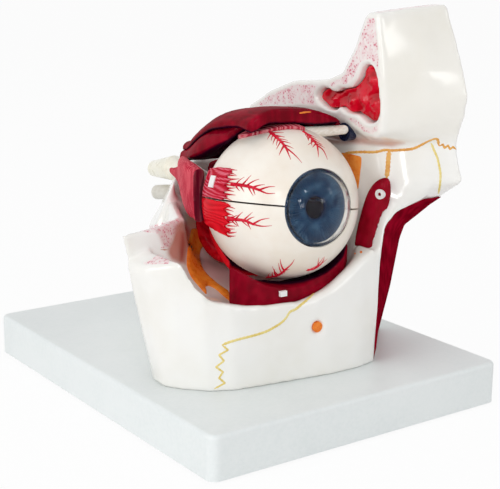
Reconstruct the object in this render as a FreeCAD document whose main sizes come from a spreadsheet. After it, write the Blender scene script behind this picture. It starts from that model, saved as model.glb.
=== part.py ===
import FreeCAD, Part
import math
import os
import Sketcher
from FreeCAD import Placement, Rotation, Vector

# Take-apart model of a right eye in its bony orbit, three times life size, on a base plate.
# Frame: +Z up, -Y the way the eye looks, +X towards the nose, origin under the plate's centre.

doc = FreeCAD.newDocument("eye_model")
sheet = doc.addObject("Spreadsheet::Sheet", "sizes")

# ------------------------------------------------------------------ driving dimensions (mm, degrees)
SIZES = [
    # stand
    ("base_width", 175), ("base_depth", 215), ("base_height", 21.5), ("base_wall", 3),
    ("base_corner", 5), ("base_edge", 2), ("cover_thickness", 2.5), ("cover_gap", 0.3),
    ("foot_height", 1.2), ("foot_radius", 9), ("foot_inset", 20),
    ("boss_radius", 4.5), ("boss_inset", 14),
    ("cover_screw_radius", 1.5), ("casting_screw_radius", 2), ("casting_screw_reach", 14),
    # eyeball
    ("eye_radius", 37.5), ("eye_x", -5.3), ("eye_y", -46), ("eye_rise", 82.6),
    ("gaze_yaw", 5), ("gaze_pitch", 6), ("split_roll", 8), ("split_gap", 0.8),
    ("sclera_wall", 3), ("choroid_wall", 1.1), ("relief_height", 1.5), ("fit_gap", 0.4),
    ("limbus_radius", 18.6), ("cornea_radius", 23.4), ("cornea_wall", 1.2), ("cornea_skirt", 2),
    ("iris_radius", 18), ("iris_thickness", 1.4), ("pupil_radius", 5.2),
    ("lens_radius", 14), ("lens_thickness", 11), ("vitreous_gap", 1),
    ("nerve_radius", 4.1), ("stub_length", 7), ("tag_thickness", 0.5),
    # how the eyeball is carried and comes out
    ("pull_pitch", 15), ("pin_radius", 2.5), ("pin_drop", 12), ("pin_reach", 24),
    ("sleeve_wall", 2.5), ("sleeve_length", 20), ("pin_play", 0.1), ("swing_room", 1.2),
    ("guide_pin_radius", 0.7), ("guide_pin_length", 5),
    # bone
    ("cut_x", 33.5), ("midline_x", 74), ("rear_y", 55), ("split_y", 22),
    ("frontal_base", 108.6), ("step_low", 59.5), ("step_high", 73.5),
    ("sinus_depth", 9), ("foramen_radius", 2.6), ("foramen_depth", 9), ("lining_thickness", 1.2),
    # muscles
    ("rectus_thickness", 6), ("levator_thickness", 5), ("tendon_radius", 2.3),
    ("pulley_radius", 4.6), ("pulley_bore", 2.6),
]
for row, (alias, value) in enumerate(SIZES, start=1):
    sheet.set(f"A{row}", alias)
    sheet.set(f"B{row}", str(value))
    sheet.setAlias(f"B{row}", alias)
doc.recompute()


def size(alias):
    return float(sheet.get(alias))


# ------------------------------------------------------------------ helpers
def bound(kind, name, **expressions):
    """A document object whose properties follow cells of the sheet."""
    made = doc.addObject(kind, name)
    for prop, expression in expressions.items():
        made.setExpression(prop, expression)
    return made


def put(made, x="0", y="0", z="0"):
    """Bind an object's position to the sheet."""
    made.setExpression("Placement.Base.x", x)
    made.setExpression("Placement.Base.y", y)
    made.setExpression("Placement.Base.z", z)
    return made


def turn(made, axis, degrees):
    made.Placement = Placement(made.Placement.Base, Rotation(axis, degrees))
    return made


def boolean(kind, name, base, tool):
    made = doc.addObject(kind, name)
    made.Base = base
    made.Tool = tool
    return made


def minus(name, base, *tools):
    """base with each tool cut away, as a chain of Part::Cut objects."""
    made = base
    for count, tool in enumerate(tools, start=1):
        last = count == len(tools)
        made = boolean("Part::Cut", name if last else f"{name}_cut{count}", made, tool)
    return made


def within(name, base, tool):
    return boolean("Part::Common", name, base, tool)


def feature(name, shape, placement=None):
    """A sub-part whose shape is made with Part's own functions."""
    made = doc.addObject("Part::Feature", name)
    made.Shape = shape
    if placement:
        made.Placement = placement
    return made


def polygon(points):
    return Part.makePolygon(list(points) + [points[0]])


def smooth_loop(points):
    curve = Part.BSplineCurve()
    curve.interpolate(list(points), PeriodicFlag=True)
    return Part.Wire(curve.toShape())


def at_z(z, outline):
    return [Vector(x, y, z) for x, y in outline]


def at_y(y, outline):
    return [Vector(x, y, z) for x, z in outline]


def at_x(x, outline):
    return [Vector(x, y, z) for y, z in outline]


def faceted(sections):
    """Solid through polygons of equal corner count, with straight rulings between them."""
    return Part.makeLoft([polygon(points) for points in sections], True, True)


def oval(x, y, z, half_width, half_height, tilt=0.0, flat=0.8):
    """Closed curve in a plane of constant y: a band section tilted about +Y, squarer if flat is small."""
    points = []
    for step in range(12):
        angle = math.radians(30 * step)
        across = half_width * math.copysign(abs(math.cos(angle)) ** flat, math.cos(angle))
        rise = half_height * math.copysign(abs(math.sin(angle)) ** flat, math.sin(angle))
        lean = math.radians(tilt)
        points.append(Vector(x + across * math.cos(lean) + rise * math.sin(lean), y,
                             z - across * math.sin(lean) + rise * math.cos(lean)))
    return smooth_loop(points)


def belly(sections):
    """Muscle or nerve: a smooth loft through ovals."""
    return Part.makeLoft([oval(*section) for section in sections], True, False)


def bar(start, end, radius):
    return Part.makeCylinder(radius, (end - start).Length, start, end - start)


def bent_rod(points, radius, bend):
    """Round rod along straight runs joined by tangent arcs."""
    edges = []
    last = points[0]
    for before, corner, after in zip(points, points[1:], points[2:]):
        way_in = (corner - before).normalize()
        way_out = (after - corner).normalize()
        half_turn = way_in.getAngle(way_out) / 2
        reach = bend * math.tan(half_turn)
        arc_start = corner - way_in * reach
        arc_end = corner + way_out * reach
        inward = (way_out - way_in).normalize()
        middle = corner + inward * (bend / math.cos(half_turn) - bend)
        edges.append(Part.makeLine(last, arc_start))
        edges.append(Part.Arc(arc_start, middle, arc_end).toShape())
        last = arc_end
    edges.append(Part.makeLine(last, points[-1]))
    path = Part.Wire(edges)
    ring = Part.Wire(Part.makeCircle(radius, points[0], points[1] - points[0]))
    return path.makePipeShell([ring], True, False)


def cut_all(shape, tools):
    for tool in tools:
        shape = shape.cut(tool)
    return shape


def largest(shape):
    return max(shape.Solids, key=lambda solid: solid.Volume)


# ------------------------------------------------------------------ places worked out from the sizes
BASE_TOP = size("foot_height") + size("base_height")
EYE = Vector(size("eye_x"), size("eye_y"), BASE_TOP + size("eye_rise"))
EYE_R = size("eye_radius")
yaw = math.radians(size("gaze_yaw"))
pitch = math.radians(size("gaze_pitch"))
roll = math.radians(size("split_roll"))
gaze = Vector(-math.sin(yaw) * math.cos(pitch), -math.cos(yaw) * math.cos(pitch), math.sin(pitch))
level = Vector(math.cos(yaw), -math.sin(yaw), 0)
lift = level.cross(gaze) * -1
if lift.z < 0:
    lift = lift * -1
side = level * math.cos(roll) - lift * math.sin(roll)
split_normal = lift * math.cos(roll) + level * math.sin(roll)
# the eyeball's own frame: x to the nose in the split plane, -y along the gaze, z off the split plane
eye_frame = Placement(EYE, Rotation(side, gaze * -1, split_normal, "ZXY"))
pull = Vector(0, -math.cos(math.radians(size("pull_pitch"))), math.sin(math.radians(size("pull_pitch"))))
GAP = size("fit_gap")
CLEAR_R = EYE_R + size("swing_room")


def near_eye(x, y, z):
    """A point given from the eyeball's centre."""
    return EYE + Vector(x, y, z)


def above_base(outline_z):
    return BASE_TOP + outline_z


# ------------------------------------------------------------------ stand
def plane_of(body, role):
    return [item for item in body.Origin.OriginFeatures if item.Role == role][0]


def sketch_on(body, name, lift_expression=None, role="XY_Plane"):
    sketch = body.newObject("Sketcher::SketchObject", name)
    sketch.AttachmentSupport = [(plane_of(body, role), "")]
    sketch.MapMode = "FlatFace"
    if lift_expression:
        sketch.setExpression("AttachmentOffset.Base.z", lift_expression)
    return sketch


def centred_rectangle(sketch, width, depth):
    """Rectangle about the sketch's origin, with both sides bound to expressions."""
    corners = [Vector(-10, -10, 0), Vector(10, -10, 0), Vector(10, 10, 0), Vector(-10, 10, 0)]
    for index in range(4):
        sketch.addGeometry(Part.LineSegment(corners[index], corners[(index + 1) % 4]), False)
    for index in range(4):
        sketch.addConstraint(Sketcher.Constraint("Coincident", index, 2, (index + 1) % 4, 1))
    for index, way in enumerate(["Horizontal", "Vertical", "Horizontal", "Vertical"]):
        sketch.addConstraint(Sketcher.Constraint(way, index))
    sketch.addConstraint(Sketcher.Constraint("Symmetric", 0, 1, 2, 1, -1, 1))
    sketch.addConstraint(Sketcher.Constraint("DistanceX", 0, 1, 0, 2, 20))
    sketch.setExpression(f"Constraints[{sketch.ConstraintCount - 1}]", width)
    sketch.addConstraint(Sketcher.Constraint("DistanceY", 1, 1, 1, 2, 20))
    sketch.setExpression(f"Constraints[{sketch.ConstraintCount - 1}]", depth)


def corner_circles(sketch, radius, across, along):
    """Four circles, one in each corner of the plate."""
    for sign_x, sign_y in [(-1, -1), (1, -1), (1, 1), (-1, 1)]:
        centre = Vector(50 * sign_x, 50 * sign_y, 0)
        index = sketch.addGeometry(Part.Circle(centre, Vector(0, 0, 1), 4), False)
        sketch.addConstraint(Sketcher.Constraint("Radius", index, 4))
        sketch.setExpression(f"Constraints[{sketch.ConstraintCount - 1}]", radius)
        sketch.addConstraint(Sketcher.Constraint("DistanceX", -1, 1, index, 3, 50 * sign_x))
        sketch.setExpression(f"Constraints[{sketch.ConstraintCount - 1}]", f"({across}) * {sign_x}")
        sketch.addConstraint(Sketcher.Constraint("DistanceY", -1, 1, index, 3, 50 * sign_y))
        sketch.setExpression(f"Constraints[{sketch.ConstraintCount - 1}]", f"({along}) * {sign_y}")


def pad(body, name, sketch, length):
    made = body.newObject("PartDesign::Pad", name)
    made.Profile = sketch
    made.setExpression("Length", length)
    return made


def pocket_up(body, name, sketch, length):
    """Pocket that cuts towards +Z from its sketch, checked to have taken material away."""
    doc.recompute()
    before = body.Shape.Volume
    made = body.newObject("PartDesign::Pocket", name)
    made.Profile = sketch
    made.Reversed = True
    made.setExpression("Length", length)
    doc.recompute()
    assert body.Shape.Volume < before, f"{name} cuts nothing"
    return made


def edge_names(shape, test):
    return [f"Edge{index}" for index, edge in enumerate(shape.Edges, start=1) if test(edge)]


def fillet(body, name, feature_before, test, radius):
    doc.recompute()
    made = body.newObject("PartDesign::Fillet", name)
    made.Base = (feature_before, edge_names(feature_before.Shape, test))
    made.setExpression("Radius", radius)
    doc.recompute()
    return made


def is_upright(edge):
    ends = [vertex.Point for vertex in edge.Vertexes]
    return len(ends) == 2 and abs(ends[0].x - ends[1].x) < 1e-6 and abs(ends[0].y - ends[1].y) < 1e-6


BOSS_ACROSS = "sizes.base_width / 2 - sizes.boss_inset"
BOSS_ALONG = "sizes.base_depth / 2 - sizes.boss_inset"
casting_screw_places = [(-40, -35), (10, -55), (10, 35), (58, 20), (60, -20)]


def build_base_plate():
    body = doc.addObject("PartDesign::Body", "base_plate")
    outline = sketch_on(body, "plate_outline")
    centred_rectangle(outline, "sizes.base_width", "sizes.base_depth")
    block = pad(body, "plate_block", outline, "sizes.base_height")
    corners = fillet(body, "plate_corners", block, is_upright, "sizes.base_corner")
    height = size("base_height")
    rounded = fillet(body, "plate_edge", corners,
                     lambda edge: all(abs(v.Point.z - height) < 1e-6 for v in edge.Vertexes),
                     "sizes.base_edge")
    hollow = sketch_on(body, "plate_hollow_outline")
    centred_rectangle(hollow, "sizes.base_width - 2 * sizes.base_wall",
                      "sizes.base_depth - 2 * sizes.base_wall")
    pocket_up(body, "plate_hollow", hollow, "sizes.base_height - sizes.base_wall")
    bosses = sketch_on(body, "boss_outline", "sizes.cover_thickness")
    corner_circles(bosses, "sizes.boss_radius", BOSS_ACROSS, BOSS_ALONG)
    pad(body, "bosses", bosses, "sizes.base_height - sizes.base_wall - sizes.cover_thickness")
    pilots = sketch_on(body, "boss_hole_outline", "sizes.cover_thickness")
    corner_circles(pilots, "sizes.cover_screw_radius", BOSS_ACROSS, BOSS_ALONG)
    pocket_up(body, "boss_holes", pilots, "sizes.base_height - 2 * sizes.base_wall - sizes.cover_thickness")
    holes = sketch_on(body, "casting_hole_outline", "sizes.base_height - sizes.base_wall")
    for x, y in casting_screw_places:
        index = holes.addGeometry(Part.Circle(Vector(x, y, 0), Vector(0, 0, 1), 2), False)
        holes.addConstraint(Sketcher.Constraint("Radius", index, 2))
        holes.setExpression(f"Constraints[{holes.ConstraintCount - 1}]", "sizes.casting_screw_radius")
    pocket_up(body, "casting_holes", holes, "sizes.base_wall")
    put(body, z="sizes.foot_height")
    return body


def build_base_cover():
    body = doc.addObject("PartDesign::Body", "base_cover")
    outline = sketch_on(body, "cover_outline")
    inside = "- 2 * (sizes.base_wall + sizes.cover_gap)"
    centred_rectangle(outline, f"sizes.base_width {inside}", f"sizes.base_depth {inside}")
    pad(body, "cover_sheet", outline, "sizes.cover_thickness")
    holes = sketch_on(body, "cover_hole_outline")
    corner_circles(holes, "sizes.cover_screw_radius", BOSS_ACROSS, BOSS_ALONG)
    pocket_up(body, "cover_holes", holes, "sizes.cover_thickness")
    sinks = sketch_on(body, "cover_sink_outline")
    corner_circles(sinks, "2 * sizes.cover_screw_radius", BOSS_ACROSS, BOSS_ALONG)
    pocket_up(body, "cover_sinks", sinks, "sizes.cover_thickness / 2")
    put(body, z="sizes.foot_height")
    return body


def build_feet():
    pads = []
    for index, (sign_x, sign_y) in enumerate([(-1, -1), (1, -1), (1, 1), (-1, 1)], start=1):
        foot = bound("Part::Cylinder", f"foot_{index}", Radius="sizes.foot_radius",
                     Height="sizes.foot_height")
        put(foot, f"{sign_x} * (sizes.base_width / 2 - sizes.foot_inset - sizes.foot_radius)",
            f"{sign_y} * (sizes.base_depth / 2 - sizes.foot_inset - sizes.foot_radius)")
        pads.append(foot)
    group = doc.addObject("Part::Compound", "base_feet")
    group.Links = pads
    return group


def screw(head_radius, head_height, shank_radius, length):
    """Screw along +Z, its head's underside at z = 0 and the head below it."""
    profile = Part.makePolygon([Vector(0, 0, -head_height), Vector(head_radius * 0.7, 0, -head_height),
                                Vector(head_radius, 0, -head_height * 0.4), Vector(head_radius, 0, 0),
                                Vector(shank_radius, 0, 0), Vector(shank_radius, 0, length - shank_radius),
                                Vector(0, 0, length), Vector(0, 0, -head_height)])
    return Part.Face(profile).revolve(Vector(0, 0, 0), Vector(0, 0, 1), 360)


def build_screws():
    radius = size("casting_screw_radius")
    under_top = BASE_TOP - size("base_wall")
    long_screw = screw(2 * radius, radius, radius, size("base_wall") + size("casting_screw_reach"))
    placed = [long_screw.translated(Vector(x, y, under_top)) for x, y in casting_screw_places]
    casting_screws = feature("casting_screws", Part.makeCompound(placed))
    radius = size("cover_screw_radius")
    head = size("cover_thickness") / 2
    reach = size("base_height") - 2 * size("base_wall") - head
    short_screw = screw(2 * radius, head, radius, reach)
    across = size("base_width") / 2 - size("boss_inset")
    along = size("base_depth") / 2 - size("boss_inset")
    placed = [short_screw.translated(Vector(sign_x * across, sign_y * along, size("foot_height") + head))
              for sign_x, sign_y in [(-1, -1), (1, -1), (1, 1), (-1, 1)]]
    return casting_screws, feature("cover_screws", Part.makeCompound(placed))


# ------------------------------------------------------------------ eyeball, in its own frame
def shell(name, outer, inner):
    """Hollow ball between two radii."""
    skin = bound("Part::Sphere", f"{name}_outer", Radius=outer)
    hole = bound("Part::Sphere", f"{name}_inner", Radius=inner)
    return minus(name, skin, hole)


def half_space(name, upper):
    """A block that fills one side of the split plane, short of it by half the gap."""
    block = bound("Part::Box", name, Length="4 * sizes.eye_radius", Width="4 * sizes.eye_radius",
                  Height="2 * sizes.eye_radius")
    start = "sizes.split_gap / 2" if upper else "-2 * sizes.eye_radius - sizes.split_gap / 2"
    return put(block, "-2 * sizes.eye_radius", "-2 * sizes.eye_radius", start)


def bore_forward(name, radius):
    """Cylinder from the eyeball's centre out through the front."""
    hole = bound("Part::Cylinder", name, Radius=radius, Height="1.5 * sizes.eye_radius")
    return turn(hole, Vector(1, 0, 0), 90)


def bore_backward(name, radius):
    hole = bound("Part::Cylinder", name, Radius=radius, Height="1.5 * sizes.eye_radius")
    return turn(hole, Vector(1, 0, 0), -90)


def guide_pins(extra):
    """Two pins in the rear wall of the halves, along the way the upper half lifts."""
    wall_middle = EYE_R - size("sclera_wall") / 2
    own_lift = Vector(-math.sin(roll), 0, math.cos(roll))
    pins = []
    for angle in (35, 145):
        foot = Vector(wall_middle * math.cos(math.radians(angle)),
                      wall_middle * math.sin(math.radians(angle)), 0)
        reach = own_lift * (size("guide_pin_length") / 2 + extra)
        pins.append(bar(foot - reach, foot + reach, size("guide_pin_radius") + extra))
    return pins


def relief_prism(upper):
    """Lateral rectus insertion seen from the side: a band round the wall of the eyeball with
    comb-like fringes at its front edge, as a prism through the lateral wall."""
    if upper:
        outline = [(17, 0), (-7.4, 0), (-10.3, 1.9), (-7.2, 3.8), (-10.6, 5.7), (-7, 7.6), (-9.8, 9.6),
                   (-6.4, 11.5), (-9.2, 13.4), (-6.6, 15.4), (1.3, 15.2), (12, 14.2), (18, 12.9)]
    else:
        outline = [(17, 0), (-8.4, 0), (-12.6, -2), (-8.2, -4), (-12, -6), (-7.8, -8), (-11.6, -10),
                   (-7.2, -12), (-10.8, -14), (-6.6, -15.6), (-9.6, -17.4), (-4.4, -15.9), (4.1, -14.4),
                   (16, -12.3)]
    edge = size("split_gap") / 2 * (1 if upper else -1)
    corners = [Vector(0, y, z or edge) for y, z in outline]
    return Part.Face(polygon(corners)).extrude(Vector(-2 * EYE_R, 0, 0))


def eye_shell_shape(inner, outer):
    return Part.makeSphere(outer).cut(Part.makeSphere(inner))


def build_eyeball():
    """Both halves with their linings, in the eyeball's frame, then placed in the orbit."""
    scleras = []
    for upper in (False, True):
        word = "upper" if upper else "lower"
        sclera = shell(f"{word}_sclera_shell", "sizes.eye_radius", "sizes.eye_radius - sizes.sclera_wall")
        sclera = within(f"{word}_sclera_half", sclera, half_space(f"{word}_sclera_side", upper))
        nerve_hole = "sizes.nerve_radius + sizes.fit_gap" if upper else "sizes.nerve_radius"
        pins = feature(f"{word}_pin_holes", Part.makeCompound(guide_pins(0.2 if upper else 0.0)))
        sclera = minus("upper_sclera" if upper else "lower_sclera_bored", sclera,
                       bore_forward(f"{word}_sclera_limbus", "sizes.limbus_radius"),
                       bore_backward(f"{word}_sclera_nerve", nerve_hole), pins)
        sclera.Placement = eye_frame
        scleras.append(sclera)
        choroid = shell(f"{word}_choroid_shell", "sizes.eye_radius - sizes.sclera_wall",
                        "sizes.eye_radius - sizes.sclera_wall - sizes.choroid_wall")
        choroid = within(f"{word}_choroid_half", choroid, half_space(f"{word}_choroid_side", upper))
        opening = bore_forward(f"{word}_choroid_opening", "sizes.limbus_radius + 2 * sizes.choroid_wall")
        choroid = minus(f"{word}_choroid", choroid, opening)
        choroid.Placement = eye_frame
        band = eye_shell_shape(EYE_R, EYE_R + size("relief_height"))
        insertion = band.common(relief_prism(upper))
        feature(f"lateral_insertion_{word}", insertion, eye_frame)
    return scleras


def build_inside_of_eyeball():
    """Vitreous body, lens, iris and cornea, in the eyeball's frame along the gaze."""
    inner = EYE_R - size("sclera_wall") - size("choroid_wall")
    opening_y = -math.sqrt(EYE_R ** 2 - size("limbus_radius") ** 2)
    forward = Vector(0, -1, 0)

    # iris: a disc with the pupil through it, its front just behind the opening
    iris_front = opening_y + size("cornea_skirt") + GAP
    iris = Part.makeCylinder(size("iris_radius"), size("iris_thickness"),
                             Vector(0, iris_front + size("iris_thickness"), 0), forward)
    iris = iris.cut(Part.makeCylinder(size("pupil_radius"), 4 * size("iris_thickness"),
                                      Vector(0, iris_front + 2 * size("iris_thickness"), 0), forward))
    feature("iris", iris, eye_frame)

    # cornea: a domed clear shell with a short skirt that seats in the opening
    seat = size("limbus_radius") - GAP
    centre_y = opening_y + math.sqrt(size("cornea_radius") ** 2 - seat ** 2)
    dome = Part.makeSphere(size("cornea_radius"), Vector(0, centre_y, 0))
    front = Part.makeBox(2 * EYE_R, 2 * EYE_R, 2 * EYE_R, Vector(-EYE_R, opening_y - 2 * EYE_R, -EYE_R))
    hollow = Part.makeSphere(size("cornea_radius") - size("cornea_wall"), Vector(0, centre_y, 0))
    hollow = hollow.common(front)
    skirt = Part.makeCylinder(seat, size("cornea_skirt"), Vector(0, opening_y + size("cornea_skirt"), 0),
                              forward)
    skirt_hole = Part.makeCylinder(seat - 1.6 * size("cornea_wall"), 1.5 * size("cornea_skirt"),
                                   Vector(0, opening_y + 1.25 * size("cornea_skirt"), 0), forward)
    cornea = dome.common(front).fuse(skirt).cut(hollow).cut(skirt_hole)
    feature("cornea", cornea.removeSplitter(), eye_frame)

    # lens: two spherical caps, flatter in front
    lens_front = iris_front + size("iris_thickness") + GAP
    half = size("lens_radius")
    front_cap = 0.4 * size("lens_thickness")
    rear_cap = size("lens_thickness") - front_cap
    front_r = (half ** 2 + front_cap ** 2) / (2 * front_cap)
    rear_r = (half ** 2 + rear_cap ** 2) / (2 * rear_cap)
    front_ball = Part.makeSphere(front_r, Vector(0, lens_front + front_r, 0))
    rear_ball = Part.makeSphere(rear_r, Vector(0, lens_front + size("lens_thickness") - rear_r, 0))
    feature("lens", front_ball.common(rear_ball), eye_frame)

    # vitreous body: a clear ball with a flat front and a hollow for the lens
    rim_y = lens_front + front_cap + GAP
    ball = Part.makeSphere(inner - size("vitreous_gap"))
    block = Part.makeBox(4 * EYE_R, 2 * EYE_R, 4 * EYE_R, Vector(-2 * EYE_R, rim_y - 2 * EYE_R, -2 * EYE_R))
    lens_room = Part.makeSphere(rear_r + GAP, Vector(0, lens_front + size("lens_thickness") - rear_r, 0))
    feature("vitreous_body", ball.cut(block).cut(lens_room), eye_frame)


def top_patch(radius, thickness, outline):
    """Piece of shell over the top of the eyeball, bounded by a plan outline from its centre."""
    prism = Part.Face(smooth_loop([Vector(x, y, 0) for x, y in outline])).extrude(Vector(0, 0, 2 * EYE_R))
    return eye_shell_shape(radius, radius + thickness).common(prism).translated(EYE)


def build_eyeball_fittings(lower_half):
    """What is fixed to the two halves: pin, guide pins, nerve stub, tendons and tag."""
    pin_start = near_eye(0, 0, -size("pin_drop")) - pull * (EYE_R - size("sclera_wall") * 2.5)
    pin_end = pin_start - pull * (size("pin_reach") + size("sclera_wall") * 2.5)
    inside = Part.makeSphere(EYE_R - size("sclera_wall"), EYE)
    pin = feature("mounting_pin", bar(pin_start, pin_end, size("pin_radius")).cut(inside))
    minus("lower_sclera", lower_half, pin)
    feature("guide_pins", Part.makeCompound(guide_pins(0.0)), eye_frame)

    stub_start = EYE_R - size("sclera_wall")
    stub = Part.makeCylinder(size("nerve_radius"), size("stub_length") + size("sclera_wall"),
                             Vector(0, stub_start, 0), Vector(0, 1, 0))
    stub = stub.cut(Part.makeSphere(stub_start))
    feature("optic_nerve_stub", stub, eye_frame)

    # superior rectus insertion: an oblique band over the top, lateral end further back
    insertion = top_patch(EYE_R, size("relief_height"), [
        (-17, 4), (-12, -2.5), (-5, -6), (2, -8), (6.5, -9), (7, -3), (8.5, 2), (6, 10), (0, 16),
        (-8, 20), (-15, 16)])
    feature("superior_rectus_insertion", insertion)

    # stump of the superior oblique tendon: leaves the eyeball near its top, towards the pulley
    tendon_start = near_eye(9.5, -2.2, 33.6)
    tendon_end = near_eye(35.5, -3.2, 33.2)
    radius = size("tendon_radius")
    tendon = Part.makeCone(radius * 1.35, radius, (tendon_end - tendon_start).Length, tendon_start,
                           tendon_end - tendon_start).fuse(Part.makeSphere(radius, tendon_end))
    tendon = tendon.cut(Part.makeSphere(EYE_R, EYE)).cut(insertion)
    feature("oblique_tendon", largest(tendon))

    outer = EYE_R + size("relief_height")
    tag = Part.makeBox(2 * EYE_R, 5.1, 5.6, Vector(-2 * EYE_R, 0.2, 5.4))
    feature("insertion_tag", tag.common(eye_shell_shape(outer, outer + size("tag_thickness"))), eye_frame)


# ------------------------------------------------------------------ muscles that lift off
def arched(x, y, z, half_width, crown, thickness, tilt=0.0):
    """Closed curve in a plane of constant y: a flat-topped band that arches over the eyeball."""
    top = []
    bottom = []
    for step in range(-3, 4):
        along = step / 3
        middle = z + crown * (1 - abs(along) ** 3) - half_width * along * math.sin(math.radians(tilt))
        half = 0.5 * thickness * (0.45 if abs(step) == 3 else 0.9 if abs(step) == 2 else 1)
        top.append(Vector(x + half_width * along, y, middle + half))
        bottom.append(Vector(x + half_width * along, y, middle - half))
    return smooth_loop(top + bottom[::-1])


def build_superior_rectus():
    ball_room = Part.makeSphere(EYE_R + size("relief_height") + GAP, EYE)
    tendon_room = bar(near_eye(0, -2, 33.6), near_eye(45, -3.4, 33.1), 1.6 * size("tendon_radius") + GAP)
    thin = size("levator_thickness")
    levator_loops = []
    for x, y, z, half_width, crown, thickness, tilt in [
            (5.3, 90, 14.2, 5.5, 0.8, thin, 0), (4.8, 78, 17, 9, 2, thin, 0),
            (4.3, 64, 22.8, 14, 3.5, thin, 1), (5.1, 50, 28.3, 19, 5, thin, 2),
            (6.2, 36, 32.8, 24, 5.8, thin, 3), (6.8, 21, 35.2, 27, 6.2, thin, 4.5),
            (6.8, 8, 36.4, 28, 6.2, 1.2 * thin, 6), (5.8, 0, 36.4, 28.6, 6.2, 1.4 * thin, 6),
            (5, -5, 36.1, 29, 6.2, 1.45 * thin, 6)]:
        place = near_eye(x, y, z)
        levator_loops.append(arched(place.x, place.y, place.z, half_width, crown, thickness, tilt))
    thick = size("rectus_thickness")
    rectus_loops = []
    for x, y, z, half_width, crown, thickness, tilt in [
            (2.3, 90, 9.4, 4.3, 0.7, thick, 0), (1.6, 78, 11.6, 7.4, 1.6, 1.3 * thick, 0),
            (0.6, 64, 15.4, 12.2, 2.2, 1.9 * thick, 1), (0.4, 50, 19.8, 16, 3, 2.6 * thick, 2),
            (2.2, 36, 25, 19, 4.2, 2.4 * thick, 3), (3.6, 21, 29.4, 21, 5.6, 1.5 * thick, 4.5),
            (3.8, 8, 31.6, 21.8, 6.2, thick, 6), (2.8, 0, 31.6, 22.3, 6.2, thick, 6),
            (2, -5, 31.3, 22.6, 6.2, thick, 6)]:
        place = near_eye(x, y, z)
        rectus_loops.append(arched(place.x, place.y, place.z, half_width, crown, thickness, tilt))
    levator = Part.makeLoft(levator_loops, True, False).cut(ball_room)
    rectus = Part.makeLoft(rectus_loops, True, False).cut(levator).cut(ball_room)
    # the superior rectus ends in front at its slanting line of insertion
    slant = Part.Face(polygon([Vector(-60, 46, -60), Vector(60, -24, -60), Vector(60, -90, -60),
                               Vector(-60, -90, -60)])).extrude(Vector(0, 0, 160)).translated(EYE)
    keep = Part.makeBox(200, 400, 400, Vector(size("cut_x") - 200.7, -200, -10))
    feature("superior_rectus", largest(rectus.cut(slant).cut(tendon_room).common(keep)))
    feature("levator_palpebrae", largest(levator.cut(tendon_room).common(keep)))


def build_lateral_rectus(nerve):
    """Flat muscle on the outer side of the eyeball, back to the apex of the orbit."""
    out = size("rectus_thickness")
    ball_room = Part.makeSphere(EYE_R + size("relief_height") + GAP, EYE)
    belly_shape = belly([
        (-37.0, -21, above_base(85.1), 0.6 * out, 13.6, -2, 0.55),
        (-35.7, -14, above_base(86), 0.7 * out, 13.8, -4, 0.6),
        (-31.5, -2, above_base(86.4), 0.72 * out, 13.6, -7, 0.7),
        (-23.8, 12, above_base(85.6), 0.72 * out, 12.6, -8, 0.7),
        (-15.8, 27, above_base(84.4), 0.52 * out, 10.2, -5),
        (-13.6, 33, above_base(84.4), 0.36 * out, 6.2, 0),
        (-12.6, 39, above_base(84.4), 0.27 * out, 3, 0),
        (-11.9, 46, above_base(84.8), 0.14 * out, 1.4, 0)])
    feature("lateral_rectus", largest(belly_shape.cut(ball_room).cut(nerve)))


# ------------------------------------------------------------------ bone castings
def swept_room():
    """Everything the eyeball and its pin pass through on the way out of the orbit."""
    reach = pull * 200
    pin_line = near_eye(0, 0, -size("pin_drop"))
    pin_path = bar(pin_line - pull * (EYE_R + size("pin_reach") + GAP), pin_line + reach,
                   size("pin_radius") + GAP)
    return [Part.makeSphere(CLEAR_R, EYE), bar(EYE, EYE + reach, CLEAR_R), pin_path]


def trough(y, floor):
    """One section of the orbit: its floor from the outer to the inner side, open above."""
    sky = 2 * size("frontal_base")
    outline = list(floor) + [(floor[-1][0], sky), (floor[0][0], sky)]
    return at_y(y, [(x, above_base(z)) for x, z in outline])


def rim_line():
    """What lies above the low step and the lower rim of the orbit, seen from the front."""
    step = size("step_low")
    rim = [(-145, step), (-84, step), (-79.5, step + 2.6), (-76, step + 4.4), (-71.6, step + 4.8),
           (-68.9, 58.3), (-66.6, 53.9), (-64.1, 50.4), (-61.2, 47.7), (-58.5, 45.6), (-55.4, 44.4),
           (-49.1, 43.1), (-43, 41.9), (-36, 41.2), (-25, 40.5), (-13, 39.8), (-4, 41.5), (5, 44.6),
           (14, 50.2), (24, 56.4), (31, 59.8), (34.6, 55)]
    return faceted([trough(-110, rim), trough(-30.5, rim)])


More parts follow.
